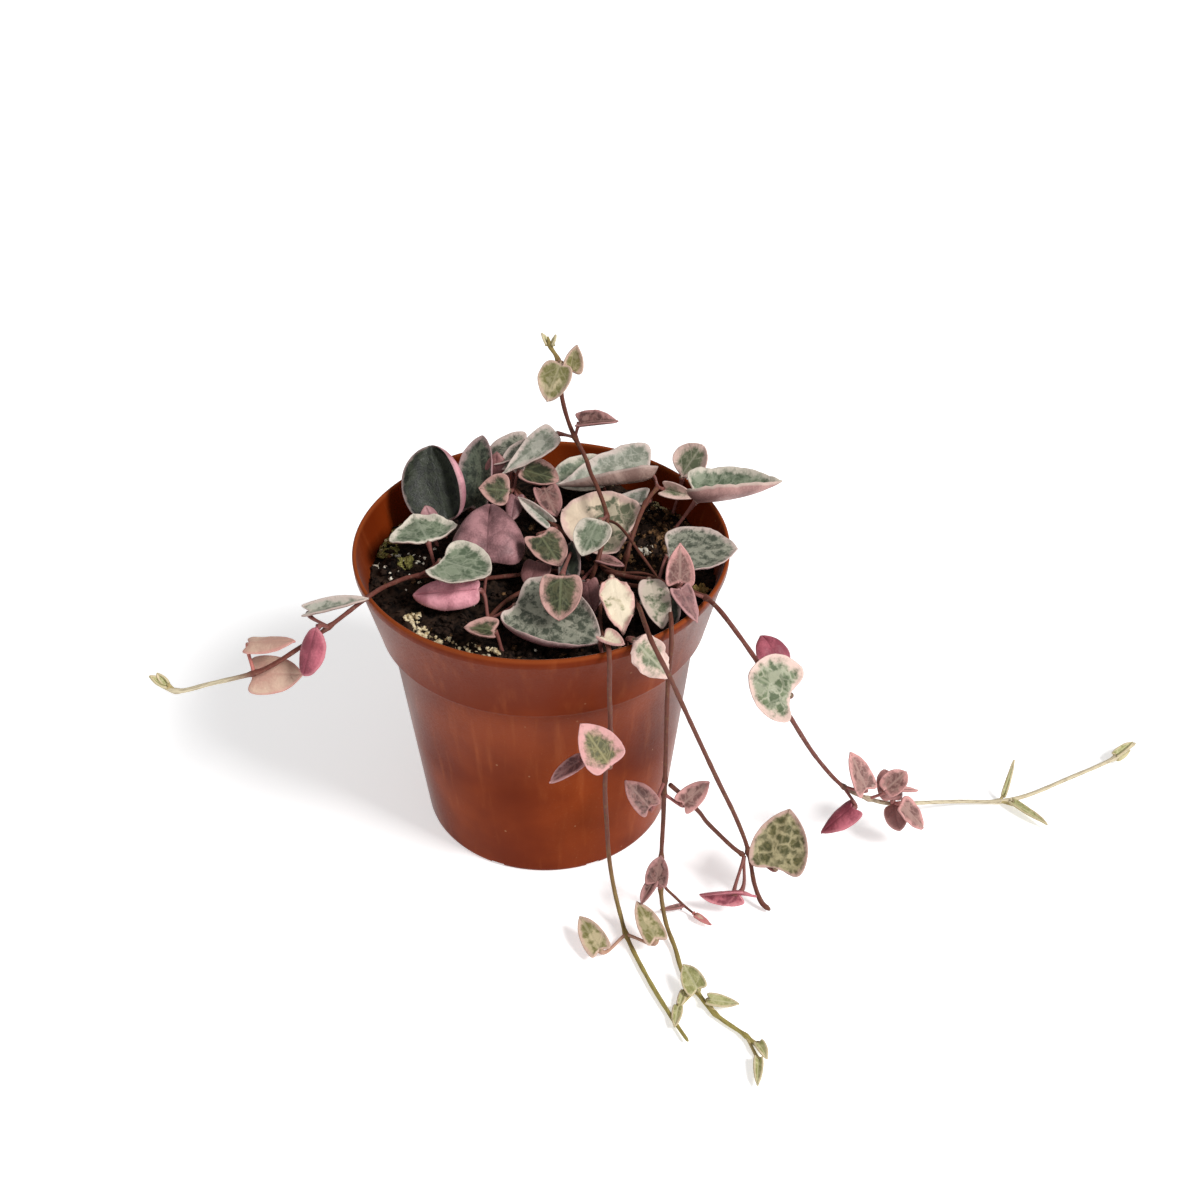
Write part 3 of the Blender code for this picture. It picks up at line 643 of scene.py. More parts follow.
@dataclass
class Pot:
    """The nursery pot: a tapered cup with a stepped band under its rim and drain holes."""

    rim_radius: float = 50.0
    height: float = 89.4
    band_bottom: float = 66.4
    band_radius: float = 44.7
    body_radius: float = 42.1
    base_radius: float = 35.3
    wall: float = 1.1
    floor: float = 1.4
    drain_ring: float = 22.0
    drain_radius: float = 4.0
    drain_depth: float = 3.0
    drain_sides: int = 32
    drains: int = 6
    slots: int = 8
    slot_depth: float = 2.0
    slot_width: float = 4.0
    slot_height: float = 1.0
    sides: int = 192
    lip_points: int = 9
    sharp_from: float = 40.0

    def profile(self) -> Array:
        """The closed section, radius and height in mm, from the inner floor over the rim down."""
        band, body, foot = self.band_radius, self.body_radius, self.base_radius
        middle, wall, step = 0.5 * (foot + body), self.wall, self.band_bottom
        ledge, lip = step + wall, wall / 2
        bend = np.linspace(0, math.pi, self.lip_points)
        rim = np.column_stack([self.rim_radius - lip - lip * np.cos(bend),
                               self.height - lip + lip * np.sin(bend)])
        inner = [(0, self.floor), (20, self.floor), (foot - wall - 0.6, self.floor),
                 (foot - wall, self.floor + 0.6), (middle - wall, 0.5 * ledge),
                 (body - wall, ledge - 0.5), (body - wall + 0.4, ledge),
                 (band - wall - 0.2, ledge), (band - wall + 0.1, ledge + 0.4)]
        outer = [(self.rim_radius - 0.12, self.height - 2.6),
                 (self.rim_radius - 0.55, self.height - 3.1),
                 (band + 0.12, step + 0.9), (band, step + 0.3), (band - 0.35, step),
                 (body + 0.35, step), (body, step - 0.35), (middle, 0.5 * step),
                 (foot + 0.1, 1.6), (foot, 0.7), (foot - 0.3, 0.2), (foot - 0.8, 0.0),
                 (27, 0.0), (15, 0.0), (0, 0.0)]
        return np.vstack([inner, rim, outer])

    def shell(self) -> Skin:
        """The section turned about Z, with both ends closed on the axis."""
        profile = self.profile()
        rings = profile[1:-1]
        points = turned(rings[:, 0], rings[:, 1], self.sides).reshape(-1, 3)
        ends = [[0, 0, profile[0, 1]], [0, 0, profile[-1, 1]]]
        return Skin("pot_shell", np.vstack([points, ends]),
                    inside_out(ring_faces(len(rings), self.sides)))

    def cutter(self, way: float, reach: float, size: tuple, sides: int) -> Piece:
        """A closed prism that stands on the underside at one place of a ring of places.

        Args:
            way: The place's angle about Z.
            reach: The ring's radius in mm.
            size: The prism's half sizes in mm, outwards, across and up.
            sides: How many sides the prism has; four makes a box.

        Returns:
            The cutter.
        """
        turn = around(sides) + math.pi / sides
        flat = np.column_stack([np.cos(turn) * size[0], np.sin(turn) * size[1]])
        flat /= math.cos(math.pi / sides)
        flat[:, 0] += reach
        flat = flat @ np.array([[math.cos(way), math.sin(way)], [-math.sin(way), math.cos(way)]])
        low = np.column_stack([flat, np.full(sides, -size[2])])
        high = np.column_stack([flat, np.full(sides, size[2])])
        points = np.vstack([low, high, low.mean(axis=0), high.mean(axis=0)])
        mesh = bpy.data.meshes.new("cutter")
        mesh.from_pydata((points * MM).tolist(), [], ring_faces(2, sides))
        return placed("cutter", mesh)

    def build(self, finish: Material) -> Piece:
        """Make the shell, cut its drain holes and foot slots, and dress it."""
        piece = self.shell().make(finish, "pot_plastic", "pot")
        hole = (self.drain_radius, self.drain_radius, self.drain_depth)
        slot = (self.slot_depth, self.slot_width / 2, self.slot_height)
        cutters = [self.cutter(FULL_TURN * k / self.drains, self.drain_ring, hole, self.drain_sides)
                   for k in range(self.drains)]
        cutters += [self.cutter(FULL_TURN * (k + 0.5) / self.slots, self.base_radius, slot, 4)
                    for k in range(self.slots)]
        for thing in cutters:
            trim = piece.modifiers.new("Drain", "BOOLEAN")
            trim.operation, trim.solver, trim.object = "DIFFERENCE", "EXACT", thing
        bpy.context.view_layer.update()
        shown = piece.evaluated_get(bpy.context.evaluated_depsgraph_get())
        cut = bpy.data.meshes.new_from_object(shown)
        piece.modifiers.clear()
        piece.data = cut
        for thing in cutters:
            bpy.data.objects.remove(thing)
        cut.set_sharp_from_angle(angle=math.radians(self.sharp_from))
        return piece


@dataclass
class SoilBed:
    """The potting mix: a plug that follows the pot's inner wall, with a crumbly top."""

    top: float = 80.0
    floor: float = 1.8
    ledge: float = 67.9
    top_radius: float = 46.9
    ledge_radius: float = 43.2
    body_radius: float = 40.5
    foot_radius: float = 33.7
    mounds: float = 0.9
    mound_size: float = 14.0
    crumbs: float = 0.75
    crumb_size: float = 2.6
    lumps: float = 1.2
    lump_size: float = 5.0
    dip: float = 1.4
    rings: int = 110
    sides: int = 300

    def height(self, x: Array, y: Array) -> Array:
        """The top's height in mm: level, three scales of noise, and a dip at the wall."""
        far = np.hypot(x, y) / self.top_radius
        place = np.column_stack([x, y, np.zeros_like(x)])
        mound = layered_noise(place / self.mound_size, 3, 2)
        crumb = layered_noise(place / self.crumb_size, 11, 4)
        lump = np.maximum(layered_noise(place / self.lump_size, 23, 2), 0.0)
        return (self.top - 0.3 + self.mounds * mound + self.crumbs * crumb + self.lumps * lump
                - self.dip * far ** 6)

    def build(self, finish: Material) -> Piece:
        """Make the plug: rings of growing radius over the top, then the side and the underside."""
        radii = self.top_radius * np.linspace(0.006, 1.0, self.rings)
        top = turned(radii, 0 * radii, self.sides).reshape(-1, 3)
        top[:, 2] = self.height(top[:, 0], top[:, 1])
        side = np.array([(self.ledge_radius, self.ledge), (self.body_radius, self.ledge),
                         (self.foot_radius, self.floor), (0.5, self.floor)])
        low = turned(side[:, 0], side[:, 1], self.sides).reshape(-1, 3)
        ends = [[0, 0, top[:self.sides, 2].mean()], [0, 0, self.floor]]
        faces = inside_out(ring_faces(self.rings + len(side), self.sides))
        return Skin("soil_bed", np.vstack([top, low, ends]), faces).make(finish, "soil", "soil")


@dataclass
class Grains:
    """Many small closed lumps of one kind that lie on the soil, as one piece."""

    name: str
    kind: CrumbFinish
    count: int
    size: tuple[float, float]
    spots: tuple[tuple[float, float, float], ...]
    seed: int
    sunk: float = 0.25
    flat: float = 0.75
    dent: float = 0.3
    tilt: float = 0.6
    wall_gap: float = 1.5
    rings: int = 5
    sides: int = 8

    def build(self, bed: SoilBed) -> Piece:
        """Scatter the lumps.

        Each lump is an ellipsoid on a grid of height and turn, pushed in and out by noise, turned
        at random, and set on the bed's surface within one of the spots (x, y and reach in mm).

        Args:
            bed: The soil that they lie on.

        Returns:
            The piece.
        """
        draw = np.random.default_rng(self.seed)
        spot = np.array(self.spots)[draw.integers(0, len(self.spots), self.count)]
        way = draw.uniform(0, FULL_TURN, self.count)
        far = spot[:, 2] * np.sqrt(draw.random(self.count))
        x, y = spot[:, 0] + far * np.cos(way), spot[:, 1] + far * np.sin(way)
        inward = np.minimum(1.0, (bed.top_radius - self.wall_gap) / np.maximum(np.hypot(x, y), 1.0))
        x, y = x * inward, y * inward
        size = draw.uniform(*self.size, self.count) * draw.uniform(0.6, 1.0, self.count)
        rise = np.linspace(-1, 1, self.rings + 2)[1:-1] * math.pi / 2
        unit = turned(np.cos(rise), np.sin(rise), self.sides).reshape(-1, 3)
        unit = np.vstack([unit, [[0, 0, -1.0]], [[0, 0, 1.0]]])
        stretch = draw.uniform(0.65, 1.25, (self.count, 1, 3)) * np.array([1.0, 1.0, self.flat])
        dents = draw.standard_normal((self.count, len(unit), 1)).clip(-1.5, 1.5)
        lumps = unit[None] * (1 + self.dent * dents) * stretch * 0.5 * size[:, None, None]
        tilt = draw.uniform(-self.tilt, self.tilt, self.count)
        spin = draw.uniform(0, FULL_TURN, self.count)
        ct, st, cs, ss = np.cos(tilt), np.sin(tilt), np.cos(spin), np.sin(spin)
        zero, one = np.zeros(self.count), np.ones(self.count)
        lean = np.stack([ct, zero, st, zero, one, zero, -st, zero, ct], axis=-1)
        swing = np.stack([cs, -ss, zero, ss, cs, zero, zero, zero, one], axis=-1)
        both = swing.reshape(-1, 3, 3) @ lean.reshape(-1, 3, 3)
        lumps = np.einsum("nij,nvj->nvi", both, lumps)
        z = bed.height(x, y) + size * (0.5 * self.flat - self.sunk)
        lumps += np.stack([x, y, z], axis=-1)[:, None]
        faces = ring_faces(self.rings, self.sides)
        starts = (np.arange(self.count) * len(unit)).tolist()
        every = [[start + corner for corner in face] for start in starts for face in faces]
        return Skin(self.name, lumps.reshape(-1, 3), every).make(
            self.kind.material(self.name), "soil")


# Stems and leaves

STEM_SIDE = (0.3, 0.2, 1.0)
TIP_ROUNDING = 0.55
TIP_CAP = 0.3
BLADE_ENDS = (0.012, 0.99)
OFF_RIB_MM = 3
OFF_MARGIN_MM = 9
HANDLE_SHARE = 0.35
LONGEST_HANDLE_MM = 3.5
STALK_GAP_MM = 0.2
TURNED_OVER_FROM = 120


def capped(values: Array) -> Array:
    """The rings' values as rows, with the first and last again for the two end points."""
    rows = values.reshape(-1, 3)
    return np.vstack([rows, rows[:1], rows[-1:]])


@dataclass
class Stem:
    """A stem: a thin round tube along its route, thicker at its knots and fine at its tip.

    Its colour turns young from a share of its length on; a share over 1 is never reached.
    """

    name: str
    route: list
    radius: float = 0.6
    tip_radius: float = 0.6
    tip_length: float = 8.0
    young_from: float = 2.0
    young_over: float = 0.25
    step: float = 0.8
    sides: int = 12
    swell: float = 0.3
    swell_length: float = 1.1
    bumps: float = 0.07
    bump_length: float = 3.0
    vine: BarkFinish = GREENING
    node: bool = True

    def build(self, knots: list) -> Piece:
        """Make the tube and dress it.

        Its radius is even, plus a bell-shaped swelling at each knot and a little noise, and it
        falls to the tip's radius over the tip's length.

        Args:
            knots: The points of the route, by number, where leaves stand.

        Returns:
            The piece.
        """
        path = smooth_route(self.route, self.step)
        gone = walked(path)
        radius = np.full(len(path), self.radius)
        for knot in knots:
            place = gone[np.argmin(np.linalg.norm(path - np.array(self.route[knot]), axis=1))]
            radius += self.swell * np.exp(-((gone - place) / self.swell_length) ** 2)
        left = np.clip((gone[-1] - gone) / self.tip_length, 0, 1)
        radius *= (self.tip_radius + (self.radius - self.tip_radius) * left) / self.radius
        place = np.column_stack([gone / self.bump_length, 0 * gone, 0 * gone])
        radius *= 1 + self.bumps * layered_noise(place, 5, 2)
        radius[-1] *= TIP_ROUNDING
        rings = tube(path, radius, np.array(STEM_SIDE), self.sides)
        ends = np.vstack([path[0], path[-1] + (path[-1] - path[-2]) * TIP_CAP])
        share = np.clip((gone / gone[-1] - self.young_from) / self.young_over, 0, 1)
        bark = np.stack(np.broadcast_arrays(gone[:, None], around(self.sides), share[:, None]),
                        axis=-1)
        skin = Skin(self.name + "_bark", np.vstack([rings.reshape(-1, 3), ends]),
                    ring_faces(len(path), self.sides), {"bark": capped(bark)})
        return skin.make(self.vine.material(), "stem_brown", self.name if self.node else "")


@dataclass
class Leaf:
    """One leaf with its stalk: a closed skin from the round stalk to the flat heart-shaped blade.

    The blade's edge is x = L (1/2 + cos(a)/2 - k sin(a)^2 sin(a/2)^6) and
    y = c W sin(a) sin(a/2)^p, with the angle a falling from pi at the notch to 0 at the tip, and c
    set so that the blade is W wide.  A rib joins each edge point to the midrib.  Each half folds
    about the midrib, its margin rolls up, and the whole bends along the midrib.

    The stalk starts at a stem's point, by its number, or at a place in the bed.
    """

    name: str
    stem: str
    knot: int | tuple[float, float, float]
    base: tuple[float, float, float]
    heading: float
    pitch: float
    roll: float
    length: float
    width: float
    look: Look = Look.SPROUT
    fold: float = 10.0
    curl: float = 0.0
    slot: str = ""
    hem: tuple[float, float] = (18.0, 18.0)
    hem_share: float = 0.3
    belly: float = 0.05
    wave: float = 0.35
    wave_size: float = 5.0
    frill: float = 0.12
    frill_size: float = 1.7
    lobe: float = 0.75
    point: float = 0.75
    neck: float = 0.0
    thickness: float = 1.1
    groove: float = 0.25
    groove_width: float = 0.6
    node: bool = True
    stalk_radius: float = 0.42
    stalk_foot: float = 0.35
    stalk_rings: int = 16
    stations: int = 34
    half_sides: int = 21

    def axes(self) -> tuple[Array, Array, Array]:
        """The blade's own axes: along the midrib, to its left, and out of its upper face."""
        heading, pitch, roll = np.radians([self.heading, self.pitch, self.roll])
        along = np.array([np.cos(pitch) * np.cos(heading), np.cos(pitch) * np.sin(heading),
                          np.sin(pitch)])
        level = np.array([-np.sin(heading), np.cos(heading), 0.0])
        face = np.cross(along, level)
        return (along, np.cos(roll) * level - np.sin(roll) * face,
                np.cos(roll) * face + np.sin(roll) * level)

    def seed(self) -> float:
        """A number of its own for the leaf's patterns, from its name."""
        return float(sum(ord(letter) * place for place, letter in enumerate(self.name, 1)) % 997)

    def edge(self, station: Array) -> tuple[Array, Array]:
        """The edge's x and y in mm at shares of the way along the midrib."""
        angle = math.pi * (1 - station)
        half = np.sin(angle / 2)
        bow = np.sin(angle) * half ** self.point * (1 - self.neck * (1 - station) ** 5)
        fine = np.linspace(0, math.pi, 200)
        widest = (np.sin(fine) * np.sin(fine / 2) ** self.point).max()
        lobes = self.lobe * np.sin(angle) ** 2 * half ** 6
        return self.length * (0.5 + 0.5 * np.cos(angle) - lobes), 0.5 * self.width * bow / widest

    def hemmed(self, y: Array, edge_y: Array, left: Array) -> tuple[Array, Array]:
        """Roll the outer part of each half up, along an arc that is square to the midrib.

        Args:
            y: Distances from the midrib in mm.
            edge_y: The edge's distance there.
            left: Whether the place is on the left half.

        Returns:
            The distances and heights in mm after the roll.
        """
        start = (1 - self.hem_share) * edge_y
        turn = np.radians(np.where(left, *self.hem)) + TINY
        radius = self.hem_share * edge_y / turn
        angle = np.maximum(y - start, 0) / radius
        return np.minimum(y, start) + radius * np.sin(angle), radius * (1 - np.cos(angle))

    def sheet(self) -> tuple[Array, ...]:
        """The blade's middle surface as a grid of stations by places across, from the left edge.

        Returns:
            Points (stations, across, 3) in mm, x and signed y on the flat blade, the distance from
            the margin in mm, and each station's share of the length.
        """
        station = np.linspace(*BLADE_ENDS, self.stations)[:, None]
        across = np.cos(np.linspace(0, math.pi, self.half_sides))[None]
        share = np.abs(across)
        edge_x, edge_y = self.edge(station)
        x = (1 - share) * self.length * station + share * edge_x
        y = share * edge_y
        signed = np.sign(across) * y
        place = np.stack([x, signed, 0 * x + self.seed()], axis=-1).reshape(-1, 3)
        ripple = layered_noise(place / self.wave_size, 7, 2).reshape(x.shape)
        frill = layered_noise(place / self.frill_size, 19, 2).reshape(x.shape)
        out, rise = self.hemmed(y, edge_y, across + 0 * station > 0)
        fold = math.radians(self.fold)
        dish = self.belly * self.width * 4 * share * (1 - share) * np.sin(math.pi * station)
        up = (out * math.sin(fold) + rise * math.cos(fold) - dish
              + self.wave * ripple * (0.25 + share ** 2)
              + self.frill * frill * share ** 4 * self.width / 8)
        level = out * math.cos(fold) - rise * math.sin(fold)
        bend = math.radians(self.curl) / self.length if self.curl else TINY
        reach, lift = np.sin(bend * x) / bend, (1 - np.cos(bend * x)) / bend
        steps = (reach - np.sin(bend * x) * up, np.sign(across) * level,
                 lift + np.cos(bend * x) * up)
        points = np.array(self.base) + sum(
            step[..., None] * axis for step, axis in zip(steps, self.axes()))
        rim = (1 - share) * np.hypot(edge_x - self.length * station, edge_y)
        return points, x, signed, rim, station

    def rings(self) -> tuple[Array, Array, Array]:
        """The blade's cross-sections: the sheet moved out along its own normals to both sides.

        Returns:
            Their points (rings, sides, 3) in mm, and the values for the finish: place on the blade,
            and distance from the margin with the share of the upper face.
        """
        sheet, x, signed, rim, station = self.sheet()
        normal = np.cross(np.gradient(sheet, axis=0), -np.gradient(sheet, axis=1))
        normal /= np.linalg.norm(normal, axis=-1, keepdims=True) + 1e-9
        level = np.sin(np.linspace(0, math.pi, self.half_sides))[None]
        thick = 0.5 * self.thickness * (1 - 0.45 * station) * level ** 0.6
        groove = self.groove * np.exp(-(signed / self.groove_width) ** 2) * (1 - station)
        blade = np.stack([x, signed, 0 * x + self.seed()], axis=-1)
        upper = np.clip(0.5 + 4 * level, 0, 1) + 0 * x
        tops = (sheet + (thick - groove)[..., None] * normal, blade,
                np.stack([rim, upper, 0 * x], axis=-1))
        lows = (sheet - thick[..., None] * normal, blade,
                np.stack([rim, 1 - upper, 0 * x], axis=-1))
        points, blade, skin = (np.concatenate([top, low[:, -2:0:-1]], axis=1)
                               for top, low in zip(tops, lows))
        return points, blade, skin

    def stalk(self) -> Array:
        """The stalk's centre line in mm, a cubic curve from the knot to the notch."""
        place = self.knot if self.stem == BED else ROUTES["stem_" + self.stem][self.knot]
        start, end = np.array(place, dtype=float), np.array(self.base, dtype=float)
        along, face = self.axes()[::2]
        handle = min(HANDLE_SHARE * np.linalg.norm(end - start), LONGEST_HANDLE_MM)
        below = 0.8 * face * (1 if abs(self.roll) < TURNED_OVER_FROM else -1)
        near_end = end - handle * (0.6 * along + below)
        near_start = start + HANDLE_SHARE * (end - start)
        t = np.linspace(0, 1, 81)[:, None]
        path = ((1 - t) ** 3 * start + 3 * (1 - t) ** 2 * t * near_start
                + 3 * (1 - t) * t ** 2 * near_end + t ** 3 * end)
        gone = walked(path)
        stops = np.linspace(0, gone[-1] - STALK_GAP_MM, self.stalk_rings)
        return np.column_stack([np.interp(stops, gone, part) for part in path.T])

    def build(self) -> Piece:
        """Make the leaf's skin, stalk first, and dress it."""
        points, blade, skin = self.rings()
        sides = points.shape[1]
        line = self.stalk()
        share = np.linspace(0, 1, len(line))
        radius = self.stalk_radius * (1 + self.stalk_foot * (1 - share) ** 6 + share ** 5)
        stalk = tube(line, radius, self.axes()[1], sides)
        gone = np.repeat((walked(line) - walked(line)[-1])[:, None], sides, 1)
        stalk_blade = np.stack([gone, 0 * gone + OFF_RIB_MM, 0 * gone + self.seed()], axis=-1)
        stalk_skin = np.stack([0 * gone + OFF_MARGIN_MM, 0 * gone + 1, 0 * gone + 1], axis=-1)
        last, before = points[-1].mean(axis=0), points[-2].mean(axis=0)
        every = np.concatenate([stalk, points]).reshape(-1, 3)
        values = {"blade": capped(np.concatenate([stalk_blade, blade])),
                  "skin": capped(np.concatenate([stalk_skin, skin]))}
        mesh = Skin(self.name + "_leaf", np.vstack([every, line[0], last + 0.5 * (last - before)]),
                    ring_faces(self.stalk_rings + self.stations, sides), values)
        return mesh.make(self.look.material(), self.slot or self.look.slot,
                         "leaf_" + self.name if self.node else "")


POT_FINISH = PotFinish(0x823510, 0x682408, 0xA0542C, 0xA87C5E)
SOIL_FINISH = CrumbFinish(0x34261E, 0x0C0908, 1.4, relief=1.0)

GRAINS = [
    Grains("crumbs_dark", CrumbFinish(0x34261F, 0x0E0A09, 0.8), 1100, (0.9, 3.0), ((0, 0, 46),), 1),
    Grains("crumbs_brown", CrumbFinish(0x806042, 0x36241A, 0.8), 300, (0.7, 2.2),
        ((0, 0, 46), (36, 20, 12), (30, 8, 10)), 2),
    Grains("perlite", CrumbFinish(0xF4F0E4, 0xBEB29C, 0.6), 70, (0.6, 1.7),
        ((-40, 2, 7), (28, 7, 3), (0, 0, 45), (-36, 10, 8)), 3, 0.15),
    Grains("moss", CrumbFinish(0xB0AA68, 0x605C30, 0.5, 0.9), 90, (0.8, 2.0),
        ((-41.5, 14.4, 4), (-37.1, 2.8, 2), (-43, 8, 3)), 4, 0.1),
    Grains("moss_pale", CrumbFinish(0xDED4A8, 0x8C8054, 0.5, 0.9), 110, (0.7, 1.7),
        ((-40, 20, 5), (-43, 11, 5), (18, 46, 3), (34, 33, 4)), 5, 0.1),
    Grains("crust", CrumbFinish(0xE8DAB8, 0xA08A64, 0.7), 230, (0.4, 1.9),
        ((-33, -21.2, 2), (-31, -26, 2.5), (-29, -30, 3), (-24, -33, 3.5), (-18, -35.5, 3.5),
         (-12, -37.5, 3)), 6, 0.1),
    Grains("bark_chips", CrumbFinish(0xCEB674, 0x846638, 1.2), 14, (1.8, 3.8),
        ((42.4, -8.8, 1.5), (44.5, 16.8, 1.2), (26, -34, 3)), 7, 0.1),
]

STEMS = [
    Stem("stem_left", [(11, -3, 81), (4, -5, 83), (-8, -7, 83), (-20, -8, 82.5), (-32, -9, 84.5),
        (-38, -17, 88), (-42, -25.5, 91), (-52, -35, 88), (-59, -38, 84), (-67, -41, 80),
        (-70.5, -42, 79), (-81.5, -42.5, 76), (-90.5, -43, 74), (-95, -41.5, 75)], tip_radius=0.55,
        young_from=0.8, young_over=0.06, vine=BEIGE),
    Stem("stem_right", [(16, 0, 81), (17.5, -6.5, 84), (23.5, -11.5, 86), (30.5, -16, 88),
        (36, -21.5, 90), (42, -27.5, 91.5), (45, -33, 92), (49.5, -37.5, 88), (54.5, -38, 80),
        (59.5, -37, 70), (65, -35, 58), (74.5, -30, 38), (83, -27, 25), (91, -24, 17.5),
        (99, -20.5, 12), (109, -14, 6), (121, -9.8, 2.3), (133, -8.6, 1.2), (141, -6.5, 1.2),
        (156, 0.5, 2), (171, 8, 3), (178.5, 13.5, 4)], tip_radius=0.55, young_from=0.52,
        young_over=0.1, vine=BEIGE),
    Stem("stem_front_left", [(16, -7.5, 81), (15.5, -20, 83), (15.8, -34, 86), (17, -43.5, 89.9),
        (17.6, -47.5, 91.3), (17.8, -50, 88.5), (17.8, -49, 79), (18, -47, 64), (16.8, -45.5, 44.5),
        (17.3, -46, 30), (18, -47.5, 18), (19.5, -51, 9), (21.2, -55.5, 4), (22.5, -59.5, 1.6),
        (28.3, -74.5, 1.2), (34.4, -87.5, 1.2), (37.7, -94, 1.5)], tip_radius=0.45,
        young_from=0.62),
    Stem("stem_front_middle", [(21, -8, 81), (27, -13.5, 84), (32.5, -19.5, 86), (33, -30, 89.3),
        (33, -38, 91.2), (33, -42.3, 88), (32.5, -42.3, 77), (32.5, -43, 51), (32.5, -43, 43),
        (32.4, -43, 38), (32.4, -43.2, 29), (32.1, -45, 16), (32, -49, 8), (33.3, -56.5, 3),
        (35.6, -64, 1.3), (37.3, -72, 1.2), (40.4, -77.7, 1.2), (45, -85.3, 1.2),
        (52.6, -92.4, 1.3), (55.1, -95.8, 1.5)], tip_radius=0.45, young_from=0.62),
    Stem("stem_front_right", [(18.5, -10.5, 81), (22, -17.5, 85), (24.4, -25.2, 89),
        (26.5, -41.8, 94.2), (27.7, -48.6, 95), (29.4, -51.8, 93), (31.6, -52, 88), (38, -49, 69),
        (46, -46, 46), (52, -43.5, 29), (56, -42.5, 15.5), (58, -46, 6), (60, -49, 2.2),
        (62, -50.5, 1.3)], tip_radius=0.75, swell=0.5),
    Stem("stem_side_branch", [(33.9, -43, 41.5), (37, -42, 37), (42.3, -41.5, 29.5), (44, -41, 26),
        (47.7, -41, 21), (52, -42, 16.5), (54.8, -42.9, 14.6)], swell=0.4),
    Stem("stem_upright", [(12.5, -8.5, 81), (14.5, -9, 88), (16.5, -3, 92.3), (17.3, 5.5, 93.5),
        (14.8, 14, 97), (13, 19, 98.3), (11.7, 24, 99.6), (8.7, 25, 106), (7.1, 25, 110.5),
        (5.4, 25, 118.2), (4.5, 25, 129.7), (2.5, 25, 133.8), (2, 25, 136.5)], tip_radius=0.4,
        young_from=0.8),
    Stem("stem_back_left", [(13, 2.5, 81), (8.8, 5, 85.5), (4, 9.3, 87), (-2.8, 17, 88.6),
        (-8.3, 24, 90)]),
    Stem("stem_back_right", [(21.5, -3.5, 81), (22.5, -4.5, 87.5), (24.5, 0.5, 92),
        (27.7, 10, 94.5), (31.2, 18, 94.5)]),
    Stem("stem_short_left", [(9, -9, 81), (4, -10.5, 82.3), (-1, -11, 82.5), (-8, -17, 83),
        (-13, -24.5, 82), (-12.5, -31, 82.5)]),
]

# Thin side shoots that are too small for the solids.
shoot = partial(Stem, radius=0.4, tip_radius=0.3, node=False)
SHOOTS = [
    shoot("shoot_floor", [(32.4, -46.8, 12), (33, -48.7, 9), (36, -49.2, 5), (39.2, -50.4, 2),
        (42, -52.8, 1.4)]),
    shoot("shoot_middle", [(2, 16.4, 85.5), (3.7, 15.9, 86), (9.5, 14.9, 87), (15.5, 12.1, 88),
        (20, 8, 87.5)]),
    shoot("shoot_cross", [(17, 9, 90), (20.3, 4.2, 91.5), (25.9, -8.5, 91.5), (30.3, -16, 89.2)]),
    shoot("shoot_low", [(14, -2, 84), (20, -8, 85), (27, -10, 86), (32, -15, 87.5)]),
]
ROUTES = {stem.name: stem.route for stem in STEMS}

